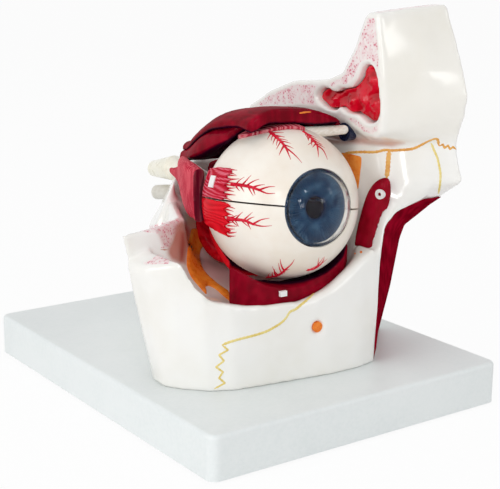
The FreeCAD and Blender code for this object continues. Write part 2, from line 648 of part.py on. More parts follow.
def orbit_cavity():
    """The orbit: a bowl behind the rim that runs back as a funnel to the apex."""
    return faceted([
        trough(-68.5, [(-44, 60), (-42, 43), (-38, 41), (-32, 39.5), (-25, 38.6), (-16, 38), (-7, 38.6),
                       (2, 41.5), (11, 46), (18, 51), (24, 56), (27, 64)]),
        trough(-63, [(-54, 60), (-53, 48), (-49, 43), (-42, 39.5), (-33, 37.4), (-22, 36.5), (-10, 36.5),
                     (0, 38.5), (10, 42), (19, 47), (27, 54), (31, 62)]),
        trough(-57, [(-66, 63), (-63, 53), (-57.5, 46), (-49, 41), (-38, 37), (-24, 35.8), (-10, 35.8),
                     (3, 37.6), (14, 41), (23, 45.5), (30, 52), (33, 62)]),
        trough(-48, [(-69, 65), (-66.5, 55), (-60.5, 46.5), (-51.5, 40.5), (-41, 37.5), (-25, 36), (-8, 36),
                     (6, 37.5), (18, 40.5), (27, 45.5), (33, 54), (36, 64)]),
        trough(-37, [(-68, 66), (-65.5, 55), (-60, 47), (-52, 41), (-42, 38), (-26, 36.5), (-8, 36.5),
                     (6, 38), (18, 41.5), (28, 47.5), (34, 56.5), (36.8, 67)]),
        trough(-29, [(-66, 73.6), (-61, 63.5), (-56, 53), (-49, 46), (-40, 41.5), (-26, 38.5), (-8, 38),
                     (6, 39.5), (18, 43), (28, 49), (34, 58), (36.8, 69)]),
        trough(-15, [(-42, 73.6), (-41, 66), (-39, 56), (-35, 49), (-29, 45), (-19, 42.5), (-7, 42),
                     (6, 43), (18, 46), (27.5, 52), (34, 61), (36.8, 72)]),
        trough(0, [(-34.5, 74), (-33.5, 67), (-31, 58), (-28, 51), (-22, 47), (-14, 45), (-4, 45),
                   (7, 46.5), (17, 50), (26, 56), (33, 64), (36.8, 75)]),
        trough(20, [(-25, 76), (-24, 72.4), (-17.5, 71.4), (-13, 65), (-9, 58.5), (-4, 55.5), (3, 56),
                    (10, 58), (17, 62), (24, 69), (31, 78), (36.5, 88)]),
        trough(44, [(-13, 80.5), (-12, 77), (-10, 75), (-7, 73.8), (-4, 73.2), (-1, 73.2), (3, 74),
                    (6, 76), (9, 79), (11, 83), (12, 87), (12.5, 92)]),
    ])


def maxilla_blank():
    """Front block: a plan outline that flares outwards as it rises."""
    right = size("cut_x") + 0.5
    rear = size("split_y")
    low = [(right, -73), (22, -75.5), (4, -75), (-13, -72.5), (-30, -70), (-47, -67), (-58, -61.5),
           (-67, -52), (-72.5, -43), (-71.5, -33), (-62, -18), (-50, -2), (-36, rear), (right, rear)]
    middle = [(right, -74.5), (22, -76), (4, -75.5), (-13, -74), (-31, -72.5), (-50, -70), (-63, -64.5),
              (-73, -55), (-80, -44), (-81, -31), (-66, -20), (-54, -4), (-38, rear), (right, rear)]
    high = [(right, -74.5), (22, -74.5), (4, -74), (-14, -73.5), (-32, -73), (-53, -71.5), (-67, -66),
            (-79, -56), (-86.5, -44), (-87.4, -30), (-64, -23), (-46, -13.5), (-28, rear), (right, rear)]
    return faceted([at_z(BASE_TOP, low), at_z(above_base(42), middle), at_z(above_base(75), high)])


def sphenoid_blank():
    """Rear block: narrows upwards on its outer side, up to the apex of the orbit."""
    front = size("split_y")
    rear = size("rear_y")
    right = size("cut_x") + 0.5

    def section(z, outer_front, outer_middle, outer_rear, set_back=0.0):
        corners = [(outer_front, front + set_back), (outer_middle, 40), (outer_rear, rear - set_back),
                   (right, rear - set_back), (right, front + set_back)]
        return at_z(above_base(z), corners)

    return faceted([section(0, -36, -29, -18), section(57, -38, -30, -18), section(75, -30, -17, -6),
                    section(84, -24, -11, -2, 1.5), section(90, 2, 5, 7, 5)])


LINING_TOP = 82


def towards_roof(share):
    """Height above the plate between the top of the nasal lining and the underside of the frontal bone."""
    return LINING_TOP + share * (size("frontal_base") - LINING_TOP)


# plan sections of the nasal side, each (height, corners from the posterior crest to the midline):
# crest, front crest, cheek, edge of the nasal opening, its inner lip, then three along the lining
NASAL_SECTIONS = [
    (0, [(34, -40), (34, -72.5), (34.4, -72.5), (34.8, -72.3), (35.2, -71), (46, -60.5), (60, -45),
         (74, -31)]),
    (27, [(34, -40), (34, -74), (34.5, -74.2), (35, -74.2), (35.6, -72), (46, -62.5), (60, -51),
          (74, -39)]),
    (54, [(34, -40), (34, -74.4), (34.6, -74.8), (35.4, -74.8), (36.3, -71.5), (47, -64), (60, -54.5),
          (74, -45)]),
    (62, [(34, -44), (34.4, -74), (35.2, -75), (36.2, -75), (37.3, -70.5), (47, -65.5), (60, -57),
          (74, -48.5)]),
    (69, [(37, -49), (36.4, -73.5), (36.9, -74.6), (38, -75), (39.2, -69.5), (48, -67), (60, -62),
          (74, -58)]),
    (76, [(37, -50), (38.6, -71.5), (40.5, -73.8), (43.5, -75.2), (44.8, -70), (52, -70.4), (61, -69.5),
          (74, -67)]),
    (LINING_TOP, [(37, -50), (40.5, -68), (48, -74.6), (60, -78), (61, -74.4), (65, -75.4), (69.5, -76),
                  (74, -76)]),
    (towards_roof(0.35), [(37, -50), (41, -64.5), (51, -75.5), (62, -82.5), (64, -83.6), (67, -85.6),
                          (70.5, -88), (74, -90.3)]),
    (towards_roof(0.72), [(37, -50), (42, -62), (51, -72), (60, -78.6), (64, -80.6), (67, -82.3),
                          (70.5, -84.4), (74, -86.5)]),
    (towards_roof(1), [(37, -50), (42.5, -60), (51, -69), (60, -75.6), (64, -78), (67, -80), (70.5, -82.6),
                       (74, -85)]),
]


def nasal_blank():
    """Medial wall of the orbit, groove of the lacrimal sac, nasal bone and nasal side."""
    mid = size("midline_x")
    loops = []
    for z, corners in NASAL_SECTIONS:
        rear = size("rear_y") - max(0, z - 66) / 3
        shifted = [(x if x < 74 else mid, y) for x, y in corners]
        loops.append(at_z(above_base(z), shifted + [(mid, size("rear_y")), (corners[0][0], rear)]))
    return faceted(loops)


def nasal_skin():
    """Mucous lining laid on the nasal side, from the inner lip of the opening to the midline."""
    thick = size("lining_thickness")
    loops = []
    for z, corners in NASAL_SECTIONS[:7]:
        surface = corners[4:]
        out = [(x - 0.4 * thick, y - thick) for x, y in surface[::-1]]
        loops.append(at_z(above_base(z) + (0.2 if z == 0 else 0), surface + out))
    return faceted(loops)


def frontal_blank():
    """Forehead and roof of the orbit, from the sagittal cut to the midline; heights from its underside."""
    cut = size("cut_x")
    mid = size("midline_x")
    base = above_base(size("frontal_base"))
    rear = size("rear_y")

    def section(x, outline):
        return at_x(x, [(y, base + rise) for y, rise in outline])

    return faceted([
        section(cut, [(-68, 64.9), (-71, 48.4), (-73, 33.4), (-74, 16.4), (-72.5, 7.9), (-68, 4.6),
                      (-60, 5.7), (-47, 10.9), (-34, 14.2), (-22, 15), (-8, 14.2), (17, 9.9),
                      (rear - 18, 6.9), (rear - 18, 9.4), (17, 19.9), (-3, 26.9), (-30, 29.9),
                      (-42, 34.4), (-51, 47.4), (-58, 62.4), (-60.5, 64.9)]),
        section(cut + 7.5, [(-69, 65.7), (-73, 49.4), (-76, 34.4), (-77, 18.4), (-76, 9.4), (-71, 4.9),
                            (-60, 0), (-47, 0), (-34, 0), (-22, 0), (-8, 0), (17, 0),
                            (rear - 14, 0), (rear - 14, 7.4), (17, 19.4), (-3, 26.4), (-30, 29.9),
                            (-42, 34.4), (-51, 47.9), (-58, 62.9), (-60.5, 65.7)]),
        section(55, [(-71, 67.1), (-77, 51.4), (-82, 36.4), (-83.5, 22.4), (-82, 12.4), (-78, 4.4),
                     (-71, 0), (-47, 0), (-34, 0), (-22, 0), (-8, 0), (17, 0),
                     (rear - 8, 0), (rear - 8, 7.4), (17, 18.9), (-3, 25.9), (-30, 29.9),
                     (-43, 34.4), (-53, 48.4), (-60, 63.4), (-62.5, 67.1)]),
        section(mid, [(-73, 68.4), (-80, 53.9), (-87, 37.4), (-91, 25.4), (-89.5, 15.4), (-86, 6.4),
                      (-85, 0), (-47, 0), (-34, 0), (-22, 0), (-8, 0), (17, 0),
                      (rear, 0), (rear, 5.4), (17, 18.4), (-3, 25.4), (-30, 29.4), (-44, 34.4),
                      (-54, 48.4), (-61, 63.9), (-64, 68.4)]),
    ])


# frontal sinus in the sagittal cut: a tall front lobe and a small rear lobe, each point (y, height
# above the underside of the frontal bone)
SINUS = [(-22.8, 21.2), (-26, 24.6), (-32, 25.4), (-37, 24.2), (-41.5, 26.6), (-47.6, 27.3),
         (-52.3, 30.6), (-55.6, 35), (-57.6, 38.6), (-61, 40.2), (-65, 39.4), (-67.2, 36.4),
         (-68.9, 31.4), (-70.3, 24.4), (-70.8, 19.4), (-69, 14.4), (-64.6, 12.4), (-59.8, 13),
         (-56, 15), (-51, 15.2), (-45.5, 15.8), (-41.6, 17.4), (-38, 15.8), (-33, 15.2),
         (-28, 16.8)]


def in_frontal(rise):
    """Height of something that goes with the frontal bone, given from its underside."""
    return above_base(size("frontal_base") + rise)


def sinus_block(start, depth):
    outline = [Vector(size("cut_x") + start, y, in_frontal(rise)) for y, rise in SINUS]
    return Part.Face(smooth_loop(outline)).extrude(Vector(depth, 0, 0))


def foramen_bar():
    start = Vector(-3, -75 + size("foramen_depth"), above_base(26.5))
    return bar(start, start + Vector(-2, -20, -1.5), size("foramen_radius"))


def casting_screw_bars():
    reach = size("base_wall") + size("casting_screw_reach")
    low = BASE_TOP - size("base_wall")
    return [bar(Vector(x, y, low), Vector(x, y, low + reach), size("casting_screw_radius"))
            for x, y in casting_screw_places]


def build_castings(rooms, nerves, bracket):
    holes = casting_screw_bars() + [bracket]
    cavity = orbit_cavity()
    high_step = Part.makeBox(200, 300, 200, Vector(-120, -100, above_base(size("step_high"))))
    maxilla = cut_all(maxilla_blank(), [rim_line(), cavity, high_step, foramen_bar()] + rooms + holes)
    sphenoid = cut_all(sphenoid_blank(), [cavity] + rooms + holes + nerves)
    nasal = cut_all(nasal_blank(), rooms + holes)
    frontal = cut_all(frontal_blank(), rooms + [sinus_block(-1, 1 + size("sinus_depth"))])
    return [largest(shape) for shape in (maxilla, sphenoid, nasal, frontal)]


# ------------------------------------------------------------------ soft parts fixed in the orbit
def build_fixed_muscles(around):
    def place(name, shape, extra=()):
        return feature(name, largest(cut_all(shape, around + [item.Shape for item in extra])))

    medial = place("medial_rectus", belly([
        (32.6, EYE.y + 16, EYE.z, 4, 11, 0), (30.5, EYE.y + 32, EYE.z, 5.5, 12.5, 4),
        (23.5, EYE.y + 60, EYE.z, 5.5, 11.5, 8), (12.6, EYE.y + 88, EYE.z - 1, 3.6, 6.5, 0)]))

    # inferior rectus: a band that hugs the eyeball from below and a belly back to the apex
    bowl = Part.makeSphere(CLEAR_R + 0.6 * size("rectus_thickness"), EYE)
    wedge = Part.Face(polygon([Vector(0, 13, 0), Vector(-22.3, 13, -9), Vector(-22.3, 13, -70),
                               Vector(30, 13, -70)])).extrude(Vector(0, 18, 0)).translated(EYE)
    tail = belly([
        (EYE.x - 1, EYE.y + 28, EYE.z - 31.5, 17, 4.5, 0), (EYE.x, EYE.y + 44, EYE.z - 30, 16, 5.5, 0),
        (EYE.x + 2, EYE.y + 66, EYE.z - 21, 11, 5.5, 0), (EYE.x + 4, EYE.y + 88, EYE.z - 10, 6, 3.5, 0)])
    inferior = place("inferior_rectus", bowl.common(wedge).fuse(tail))

    # inferior oblique: a deep trough under the front of the eyeball, between floor and rim
    edge = [(-33.4, -27), (-31, -28.4), (-28, -30.8), (-23, -34), (-16, -36), (-9, -36.6), (-2, -36),
            (6, -34), (14, -31.3), (21, -28.2), (28, -24.6), (33, -21.5)]
    under = [(33, -60), (-33.4, -60)]
    front_view = polygon([Vector(x, -60, z) for x, z in edge + under])
    plan = polygon([Vector(x, y, -60) for x, y in [
        (-33.4, -3), (-33.4, -9.5), (-31, -14), (-26, -18.5), (-18, -21.5), (-5, -23), (12, -22.6),
        (24, -20), (31, -14), (35, -6), (35, -3)]])
    block = Part.Face(front_view).extrude(Vector(0, 120, 0)).common(Part.Face(plan).extrude(Vector(0, 0, 90)))
    oblique = place("inferior_oblique", block.translated(EYE), [inferior])

    superior = place("superior_oblique", belly([
        (38.5, EYE.y + 6, in_frontal(6.9), 4.6, 4, 0), (38.4, EYE.y + 24, in_frontal(7.9), 4.8, 5, 0),
        (38.4, EYE.y + 44, in_frontal(5.4), 4.8, 5, 0), (31, EYE.y + 64, in_frontal(-4.6), 4.6, 5, 20),
        (20, EYE.y + 84, above_base(92.6), 3.6, 3.6, 20)]), [medial])

    pulley = Vector(size("cut_x") + 0.3, EYE.y + 1, in_frontal(5.2))
    ring = bar(pulley, pulley + Vector(6, 0, 0), size("pulley_radius"))
    ring = ring.cut(bar(pulley - Vector(1, 0, 0), pulley + Vector(8, 0, 0), size("pulley_bore")))
    place("trochlea", ring, [superior])

    # blank tag on the front of the inferior oblique, just above the rim
    tag = Part.makeBox(3.6, 6, 2.6, Vector(EYE.x - 17.2, EYE.y - 23.4, above_base(42.8)))
    place("oblique_tag", tag, [oblique])


def build_linings(around):
    depth = size("sinus_depth")
    lining = sinus_block(0.3 * depth, 0.7 * depth)
    for y, rise, radius in [(-62, 33.4, 4.6), (-64.5, 21.9, 4.8), (-56, 22.4, 4.4), (-47, 21.4, 4.6),
                            (-34, 20.4, 3.6)]:
        lump = Part.makeSphere(radius, Vector(size("cut_x") + 0.6 * depth, y, in_frontal(rise)))
        lining = lining.fuse(lump.common(sinus_block(0.1 * depth, 0.8 * depth)))
    feature("frontal_sinus_lining", largest(lining))
    return feature("nasal_lining", largest(cut_all(nasal_skin(), around)))


def upright_belly(sections, lean):
    """Smooth loft through level ovals, for a piece that runs up and down."""
    loops = []
    for x, y, z, half_along, half_deep in sections:
        points = []
        for step in range(12):
            angle = math.radians(30 * step)
            along = half_along * math.cos(angle)
            deep = half_deep * math.sin(angle)
            points.append(Vector(x + along * math.sin(lean) - deep * math.cos(lean),
                                 y - along * math.cos(lean) - deep * math.sin(lean), above_base(z)))
        loops.append(smooth_loop(points))
    return Part.makeLoft(loops, True, False)


def build_lacrimal_sac(around):
    """Rounded sac lying in its groove beside the rim, with a blank ring tag near its upper end."""
    lean = math.radians(18)
    sac = upright_belly([
        (41, -69.5, 93.6, 0.8, 0.9), (40.5, -69, 92.6, 2.6, 2.2), (39.8, -68, 89.5, 4.8, 3.2),
        (39.3, -66.4, 84, 6.3, 3.8), (38.6, -64.8, 77, 6.8, 4), (37.3, -64, 70, 6.9, 4.2),
        (35.6, -63.8, 62, 6.8, 4.2), (35, -63.8, 56, 6.6, 4.2)], lean)
    sac = largest(cut_all(sac, around))
    feature("lacrimal_sac", sac)
    outward = Vector(-math.cos(lean), -math.sin(lean), 0)
    middle = Vector(40.6, -69, above_base(86))
    ring = bar(middle, middle + outward * 4.4, 2.5).cut(bar(middle, middle + outward * 8, 0.9))
    feature("sac_tag", largest(ring.cut(sac)))


# ------------------------------------------------------------------ bracket and nerves
def build_bracket():
    """Post with a sleeve that holds the eyeball's pin."""
    pin_line = near_eye(0, 0, -size("pin_drop"))
    outer_radius = size("pin_radius") + size("pin_play") + size("sleeve_wall")
    start = pin_line - pull * (EYE_R + size("swing_room"))
    end = start - pull * size("sleeve_length")
    middle = (start + end) * 0.5
    foot_z = above_base(24)
    post = Part.makeBox(2 * outer_radius, 10, middle.z - foot_z,
                        Vector(middle.x - outer_radius, middle.y - 5, foot_z))
    hole = bar(start + pull * 2, end - pull * 2, size("pin_radius") + size("pin_play"))
    solid = bar(start, end, outer_radius).fuse(post).cut(hole)
    return largest(solid.cut(Part.makeSphere(CLEAR_R, EYE)))


def nerve_shapes():
    back = gaze * -1
    radius = size("nerve_radius")
    stub_end = EYE_R + size("stub_length") + 2 * GAP
    bend = Vector(-4, 40, above_base(86))
    end = Vector(-4, 76, above_base(80))
    optic = bent_rod([EYE + back * stub_end, EYE + back * (stub_end + 12), bend, end], radius, 30)
    # the nerve's sheath is widest just behind the bone and narrows towards the cut end
    run = (end - bend).Length
    profile = [Vector(0, 0, 7), Vector(0.8 * radius, 0, 7), Vector(1.7 * radius, 0, 14.5),
               Vector(1.5 * radius, 0, 22), Vector(1.1 * radius, 0, run), Vector(0, 0, run)]
    sheath = Part.Face(polygon(profile)).revolve(Vector(0, 0, 0), Vector(0, 0, 1), 360)
    sheath.Placement = Placement(bend, Rotation(Vector(0, 0, 1), end - bend))
    optic = optic.fuse(sheath).removeSplitter()
    maxillary = bent_rod([Vector(-4, 46, above_base(68)), Vector(-4, 60, above_base(69.3)),
                          Vector(-4, 73, above_base(66.8))], radius, 20)
    return optic, maxillary


# ------------------------------------------------------------------ build everything
build_base_plate()
build_base_cover()
build_feet()
build_screws()

build_eyeball_fittings(build_eyeball()[0])
build_inside_of_eyeball()

rooms = swept_room()
bracket = feature("eyeball_bracket", build_bracket())
optic, maxillary = nerve_shapes()
feature("optic_nerve", optic)
feature("maxillary_nerve", maxillary)
castings = build_castings(rooms, [optic, maxillary], bracket.Shape)
for word, casting in zip(["maxilla", "sphenoid", "nasal", "frontal"], castings):
    feature(f"{word}_casting", casting)
feature("infraorbital_nerve", largest(foramen_bar().common(maxilla_blank())))
lining = build_linings(castings)
build_lacrimal_sac(castings + [lining.Shape])
build_superior_rectus()
build_lateral_rectus(bent_rod([EYE - gaze * EYE_R, EYE - gaze * 57, Vector(-4, 40, above_base(86)),
                               Vector(-4, 76, above_base(80))], size("nerve_radius") + GAP, 30))
build_fixed_muscles(castings + rooms + [bracket.Shape, optic, maxillary])

NODES = [
    "base_plate", "base_cover", "base_feet", "casting_screws", "cover_screws",
    "maxilla_casting", "sphenoid_casting", "nasal_casting", "frontal_casting",
    "frontal_sinus_lining", "nasal_lining", "lacrimal_sac", "sac_tag", "medial_rectus",
    "inferior_rectus", "inferior_oblique", "oblique_tag", "superior_oblique", "trochlea",
    "optic_nerve", "maxillary_nerve", "infraorbital_nerve", "eyeball_bracket",
    "lower_sclera", "lower_choroid", "lateral_insertion_lower", "optic_nerve_stub", "mounting_pin",
    "guide_pins",
    "upper_sclera", "upper_choroid", "lateral_insertion_upper", "superior_rectus_insertion",
    "oblique_tendon", "insertion_tag",
    "vitreous_body", "lens", "iris", "cornea",
    "superior_rectus", "levator_palpebrae", "lateral_rectus",
]

doc.recompute()
for item in doc.Objects:
    assert "Invalid" not in item.State and "Error" not in item.State, f"{item.Label}: {item.State}"

by_label = {item.Label: item for item in doc.Objects}
os.makedirs("parts", exist_ok=True)
for node in NODES:
    shape = by_label[node].Shape
    assert not shape.isNull() and shape.isValid(), f"{node} has no valid shape"
    shape.exportStep(f"parts/{node}.step")
    print(node, len(shape.Solids), "solids", round(shape.Volume / 1000, 2), "cm3")
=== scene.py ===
from math import cos, exp, pi, radians, sin, sqrt, tanh

import bmesh
import bpy
import numpy as np
from mathutils import Matrix, Vector, kdtree
from mathutils.bvhtree import BVHTree
from mathutils.geometry import delaunay_2d_cdt


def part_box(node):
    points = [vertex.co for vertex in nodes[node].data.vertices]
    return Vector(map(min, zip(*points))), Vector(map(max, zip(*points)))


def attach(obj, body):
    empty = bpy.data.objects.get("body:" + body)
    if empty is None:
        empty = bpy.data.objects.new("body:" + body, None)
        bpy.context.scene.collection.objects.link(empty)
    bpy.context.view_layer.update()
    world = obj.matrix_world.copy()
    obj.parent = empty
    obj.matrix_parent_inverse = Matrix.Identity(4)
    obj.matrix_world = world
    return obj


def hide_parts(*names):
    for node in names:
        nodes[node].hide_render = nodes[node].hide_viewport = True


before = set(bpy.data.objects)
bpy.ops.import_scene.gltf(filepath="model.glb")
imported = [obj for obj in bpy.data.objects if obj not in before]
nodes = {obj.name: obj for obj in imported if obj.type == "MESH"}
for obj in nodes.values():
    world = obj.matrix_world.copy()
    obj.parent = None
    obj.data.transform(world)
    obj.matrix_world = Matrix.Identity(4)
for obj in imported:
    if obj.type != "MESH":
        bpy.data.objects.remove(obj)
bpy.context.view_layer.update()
MM = 0.001


def add_object(name, data):
    made = bpy.data.objects.new(name, data)
    bpy.context.scene.collection.objects.link(made)
    return made


# ---- camera
# The main view is 500 x 489; outlines below are given as points in it.
VIEW_WIDTH, VIEW_HEIGHT, FOCAL, FILM_WIDTH = 500, 489, 1242.57, 36
EYE_POINT = Vector((-0.3637, -0.5206, 0.2336))
AZIMUTH, ELEVATION, ROLL = radians(-35.58), radians(14.14), radians(0.5)

backward = Vector((sin(AZIMUTH) * cos(ELEVATION), -cos(AZIMUTH) * cos(ELEVATION),
                   sin(ELEVATION)))
flat_right = Vector((cos(AZIMUTH), sin(AZIMUTH), 0))
flat_up = backward.cross(flat_right)
view_right = flat_right * cos(ROLL) + flat_up * sin(ROLL)
view_up = flat_up * cos(ROLL) - flat_right * sin(ROLL)


def build_camera():
    lens = bpy.data.cameras.new("main_camera")
    lens.sensor_width = FILM_WIDTH
    lens.lens = FOCAL / VIEW_WIDTH * FILM_WIDTH
    lens.clip_start, lens.clip_end = 0.01, 20
    camera = add_object("main_camera", lens)
    turn = Matrix((view_right, view_up, backward)).transposed().to_4x4()
    camera.matrix_world = Matrix.Translation(EYE_POINT) @ turn
    bpy.context.scene.camera = camera


def sight(x, y):
    """Direction from the camera through a point of the main view."""
    across = (x - VIEW_WIDTH / 2) / FOCAL
    rise = (VIEW_HEIGHT / 2 - y) / FOCAL
    return (view_right * across + view_up * rise - backward).normalized()


def seen_at(points):
    """Points of the main view at which points of the model, in mm, are seen."""
    away = points * MM - np.array(EYE_POINT)
    depth = -away @ np.array(backward)
    x = VIEW_WIDTH / 2 + FOCAL * (away @ np.array(view_right)) / depth
    y = VIEW_HEIGHT / 2 - FOCAL * (away @ np.array(view_up)) / depth
    return np.stack([x, y], axis=1)


def depth_inside(spots, outline):
    """How far 2-D points lie inside an outline; negative outside."""
    corners = np.array(outline, float)
    nearest = np.full(len(spots), 1e9)
    crossed = np.zeros(len(spots), int)
    for start, end in zip(corners, np.roll(corners, -1, axis=0)):
        along = end - start
        share = np.clip((spots - start) @ along / (along @ along), 0, 1)
        nearest = np.minimum(nearest, np.linalg.norm(spots - start - share[:, None] * along, axis=1))
        rise = along[1] if along[1] else 1e-9
        reach = start[0] + (spots[:, 1] - start[1]) * along[0] / rise
        crossed += ((start[1] > spots[:, 1]) != (end[1] > spots[:, 1])) & (spots[:, 0] < reach)
    return np.where(crossed % 2 == 1, nearest, -nearest)


# ---- numbers of the model (mm)
BASE_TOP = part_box("base_plate")[1].z / MM
EYE_CENTRE = np.array((-5.3, -46, BASE_TOP + 82.6))
EYE_R = 37.5
CUT_X, MIDLINE_X, REAR_Y = 33.5, 74, 55
STEP_LOW, STEP_HIGH = BASE_TOP + 59.5, BASE_TOP + 73.5
RISER_X, RISER_Y = -40, -30.5
FACE_CUT_LOW, MIDLINE_CUT_LOW, TOP_CUT_LOW = BASE_TOP + 108, BASE_TOP + 104, BASE_TOP + 168
IRIS_FRONT, IRIS_R, IRIS_DEPTH, PUPIL_R = -30.16, 18, 1.4, 5.2


def eye_axes():
    """Columns: to the nose in the split plane, against the gaze, off the split plane."""
    yaw, pitch, roll = radians(5), radians(6), radians(8)
    gaze = np.array((-sin(yaw) * cos(pitch), -cos(yaw) * cos(pitch), sin(pitch)))
    level = np.array((cos(yaw), -sin(yaw), 0))
    lift = -np.cross(level, gaze)
    side = level * cos(roll) - lift * sin(roll)
    normal = lift * cos(roll) + level * sin(roll)
    return np.stack([side, -gaze, normal], axis=1)


EYE_AXES = eye_axes()


def from_eye(points):
    """Points of the eyeball's own frame, in mm, to the model's frame in metres."""
    return (np.asarray(points, float) @ EYE_AXES.T + EYE_CENTRE) * MM


def in_eye(points):
    """Points of the model, in mm, in the eyeball's own frame."""
    return (points - EYE_CENTRE) @ EYE_AXES


def off_ball(points):
    """Height of points of the model over the eyeball's surface, in mm."""
    return np.linalg.norm(points - EYE_CENTRE, axis=1) - EYE_R


def unit(ways):
    """One vector, or rows of them, at length 1."""
    return ways / np.linalg.norm(ways, axis=-1, keepdims=True)


def on_ball(points):
    """Points of the eyeball's own frame, moved straight out or in to its surface."""
    return unit(np.asarray(points, float)) * EYE_R


# ---- mesh tools
def fetch(items, key, kind=float, width=3):
    """One property of a mesh's vertices or edges, a row for each."""
    found = np.empty(len(items) * width, dtype=kind)
    items.foreach_get(key, found)
    return found.reshape(-1, width)


def points_of(mesh):
    return fetch(mesh.vertices, "co")


def normals_of(mesh):
    return fetch(mesh.vertex_normals, "vector")


def edges_of(mesh):
    return fetch(mesh.edges, "vertices", np.int64, 2)


def write_back(mesh, points):
    mesh.vertices.foreach_set("co", points.astype(np.float32).ravel())
    mesh.update()


def relax(points, pairs, rounds, freedom):
    """Moves each point halfway to the middle of its neighbours, times its freedom on each axis."""
    count = len(points)
    degree = np.maximum(np.bincount(pairs.ravel(), minlength=count), 1)[:, None]
    for _ in range(rounds):
        total = np.stack([np.bincount(pairs[:, 0], points[pairs[:, 1], axis], count)
                          + np.bincount(pairs[:, 1], points[pairs[:, 0], axis], count)
                          for axis in range(3)], axis=1)
        points = points + 0.5 * freedom * (total / degree - points)
    return points


def smooth(mesh, rounds, freedom=None):
    """Rounds off small forms and gives back most of what that shrinks."""
    points, pairs = points_of(mesh), edges_of(mesh)
    freedom = np.ones_like(points) if freedom is None else freedom
    once = relax(points, pairs, rounds, freedom)
    twice = relax(once, pairs, rounds, freedom)
    write_back(mesh, 2 * once - twice)


def push(mesh, heights):
    """Moves each vertex along its normal by a height in mm."""
    write_back(mesh, points_of(mesh) + normals_of(mesh) * (heights * MM)[:, None])


WAVES, WAVE_RANGE = 7, 4.2


def wave(points, seed, size):
    """Soft pseudo-noise, mostly between -1 and 1, with features of about size mm."""
    chooser = np.random.default_rng(seed)
    total = np.zeros(len(points))
    for _ in range(WAVES):
        way = chooser.normal(size=3)
        way *= chooser.uniform(0.7, 1.5) / np.linalg.norm(way)
        total += np.sin(points @ way * (2 * pi / size) + chooser.uniform(0, 2 * pi))
    return total / WAVE_RANGE


def dress(mesh, material):
    mesh.materials.clear()
    mesh.materials.append(material)


def place(name, mesh, body, material):
    """Puts a mesh in the scene as a piece that moves with a body."""
    made = add_object(name, mesh)
    dress(mesh, material)
    mesh.polygons.foreach_set("use_smooth", [True] * len(mesh.polygons))
    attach(made, body)
    return made


def skin(name, cad, voxel):
    """The CAD meshes of some nodes as one closed skin of even quads, voxel mm wide."""
    joined = bmesh.new()
    for node in cad:
        joined.from_mesh(nodes[node].data)
    mesh = bpy.data.meshes.new(name)
    joined.to_mesh(mesh)
    joined.free()
    rough = add_object(name + "_rough", mesh)
    remesh = rough.modifiers.new("skin", "REMESH")
    remesh.mode = "VOXEL"
    remesh.voxel_size = voxel * MM
    ready = rough.evaluated_get(bpy.context.evaluated_depsgraph_get())
    made = bpy.data.meshes.new_from_object(ready)
    made.name = name
    bpy.data.objects.remove(rough)
    bpy.data.meshes.remove(mesh)
    return made


def mesh_of(name, points, faces):
    mesh = bpy.data.meshes.new(name)
    mesh.from_pydata([tuple(point) for point in points], [], [tuple(face) for face in faces])
    mesh.update()
    return mesh


def ring_quads(rings, sides):
    """Faces between rings of vertices that follow each other."""
    quads = []
    for ring in range(rings - 1):
        for k in range(sides):
            a, b = ring * sides + k, ring * sides + (k + 1) % sides
            quads.append((a, b, b + sides, a + sides))
    return quads


def attribute(mesh, name, values):
    layer = mesh.attributes.new(name, "FLOAT", "POINT")
    layer.data.foreach_set("value", np.asarray(values, dtype=np.float32))


def tree_of(mesh):
    return BVHTree.FromPolygons([v.co for v in mesh.vertices], [tuple(p.vertices) for p in mesh.polygons])


# ---- shader tools
def new_material(name, colour, roughness, **sockets):
    made = bpy.data.materials.new(name)
    made.use_nodes = True
    shader = made.node_tree.nodes["Principled BSDF"]
    shader.inputs["Base Color"].default_value = (*colour, 1)
    shader.inputs["Roughness"].default_value = roughness
    for socket, value in sockets.items():
        shader.inputs[socket.replace("_", " ")].default_value = value
    return made, made.node_tree, shader


def add(tree, kind, inputs=None, **settings):
    node = tree.nodes.new("ShaderNode" + kind)
    for key, value in settings.items():
        setattr(node, key, value)
    for socket, value in (inputs or {}).items():
        if isinstance(value, bpy.types.NodeSocket):
            tree.links.new(value, node.inputs[socket])
        else:
            node.inputs[socket].default_value = value
    return node


def calc(tree, operation, first, second):
    return add(tree, "Math", {0: first, 1: second}, operation=operation).outputs[0]


def mesh_value(tree, name):
    """A value that each vertex of the mesh carries."""
    return add(tree, "Attribute", attribute_name=name).outputs["Fac"]


def coordinates(tree, stretch=(1, 1, 1)):
    where = add(tree, "TexCoord").outputs["Object"]
    return add(tree, "Mapping", {"Vector": where, "Scale": stretch}).outputs["Vector"]


def grain(tree, where, size, detail=3.0, roughness=0.55):
    """Noise with features of about size mm."""
    return add(tree, "TexNoise", {"Vector": where, "Scale": 1 / (size * MM), "Detail": detail,
                                  "Roughness": roughness}).outputs["Fac"]


def ramp(tree, factor, stops):
    made = add(tree, "ValToRGB", {"Fac": factor})
    elements = made.color_ramp.elements
    while len(elements) < len(stops):
        elements.new(0.5)
    for element, (position, colour) in zip(elements, stops):
        element.position = position
        element.color = (*colour, 1)
    return made.outputs["Color"]


def blend(tree, factor, first, second):
    made = add(tree, "Mix", data_type="RGBA")
    for socket, value in ((0, factor), (6, first), (7, second)):
        if isinstance(value, bpy.types.NodeSocket):
            tree.links.new(value, made.inputs[socket])
        else:
            made.inputs[socket].default_value = (*value, 1) if isinstance(value, tuple) else value
    return made.outputs[2]


def between(tree, value, low, high, low_out=0.0, high_out=1.0):
    return add(tree, "MapRange", {"Value": value, "From Min": low, "From Max": high, "To Min": low_out,
                                  "To Max": high_out}, interpolation_type="SMOOTHSTEP").outputs["Result"]


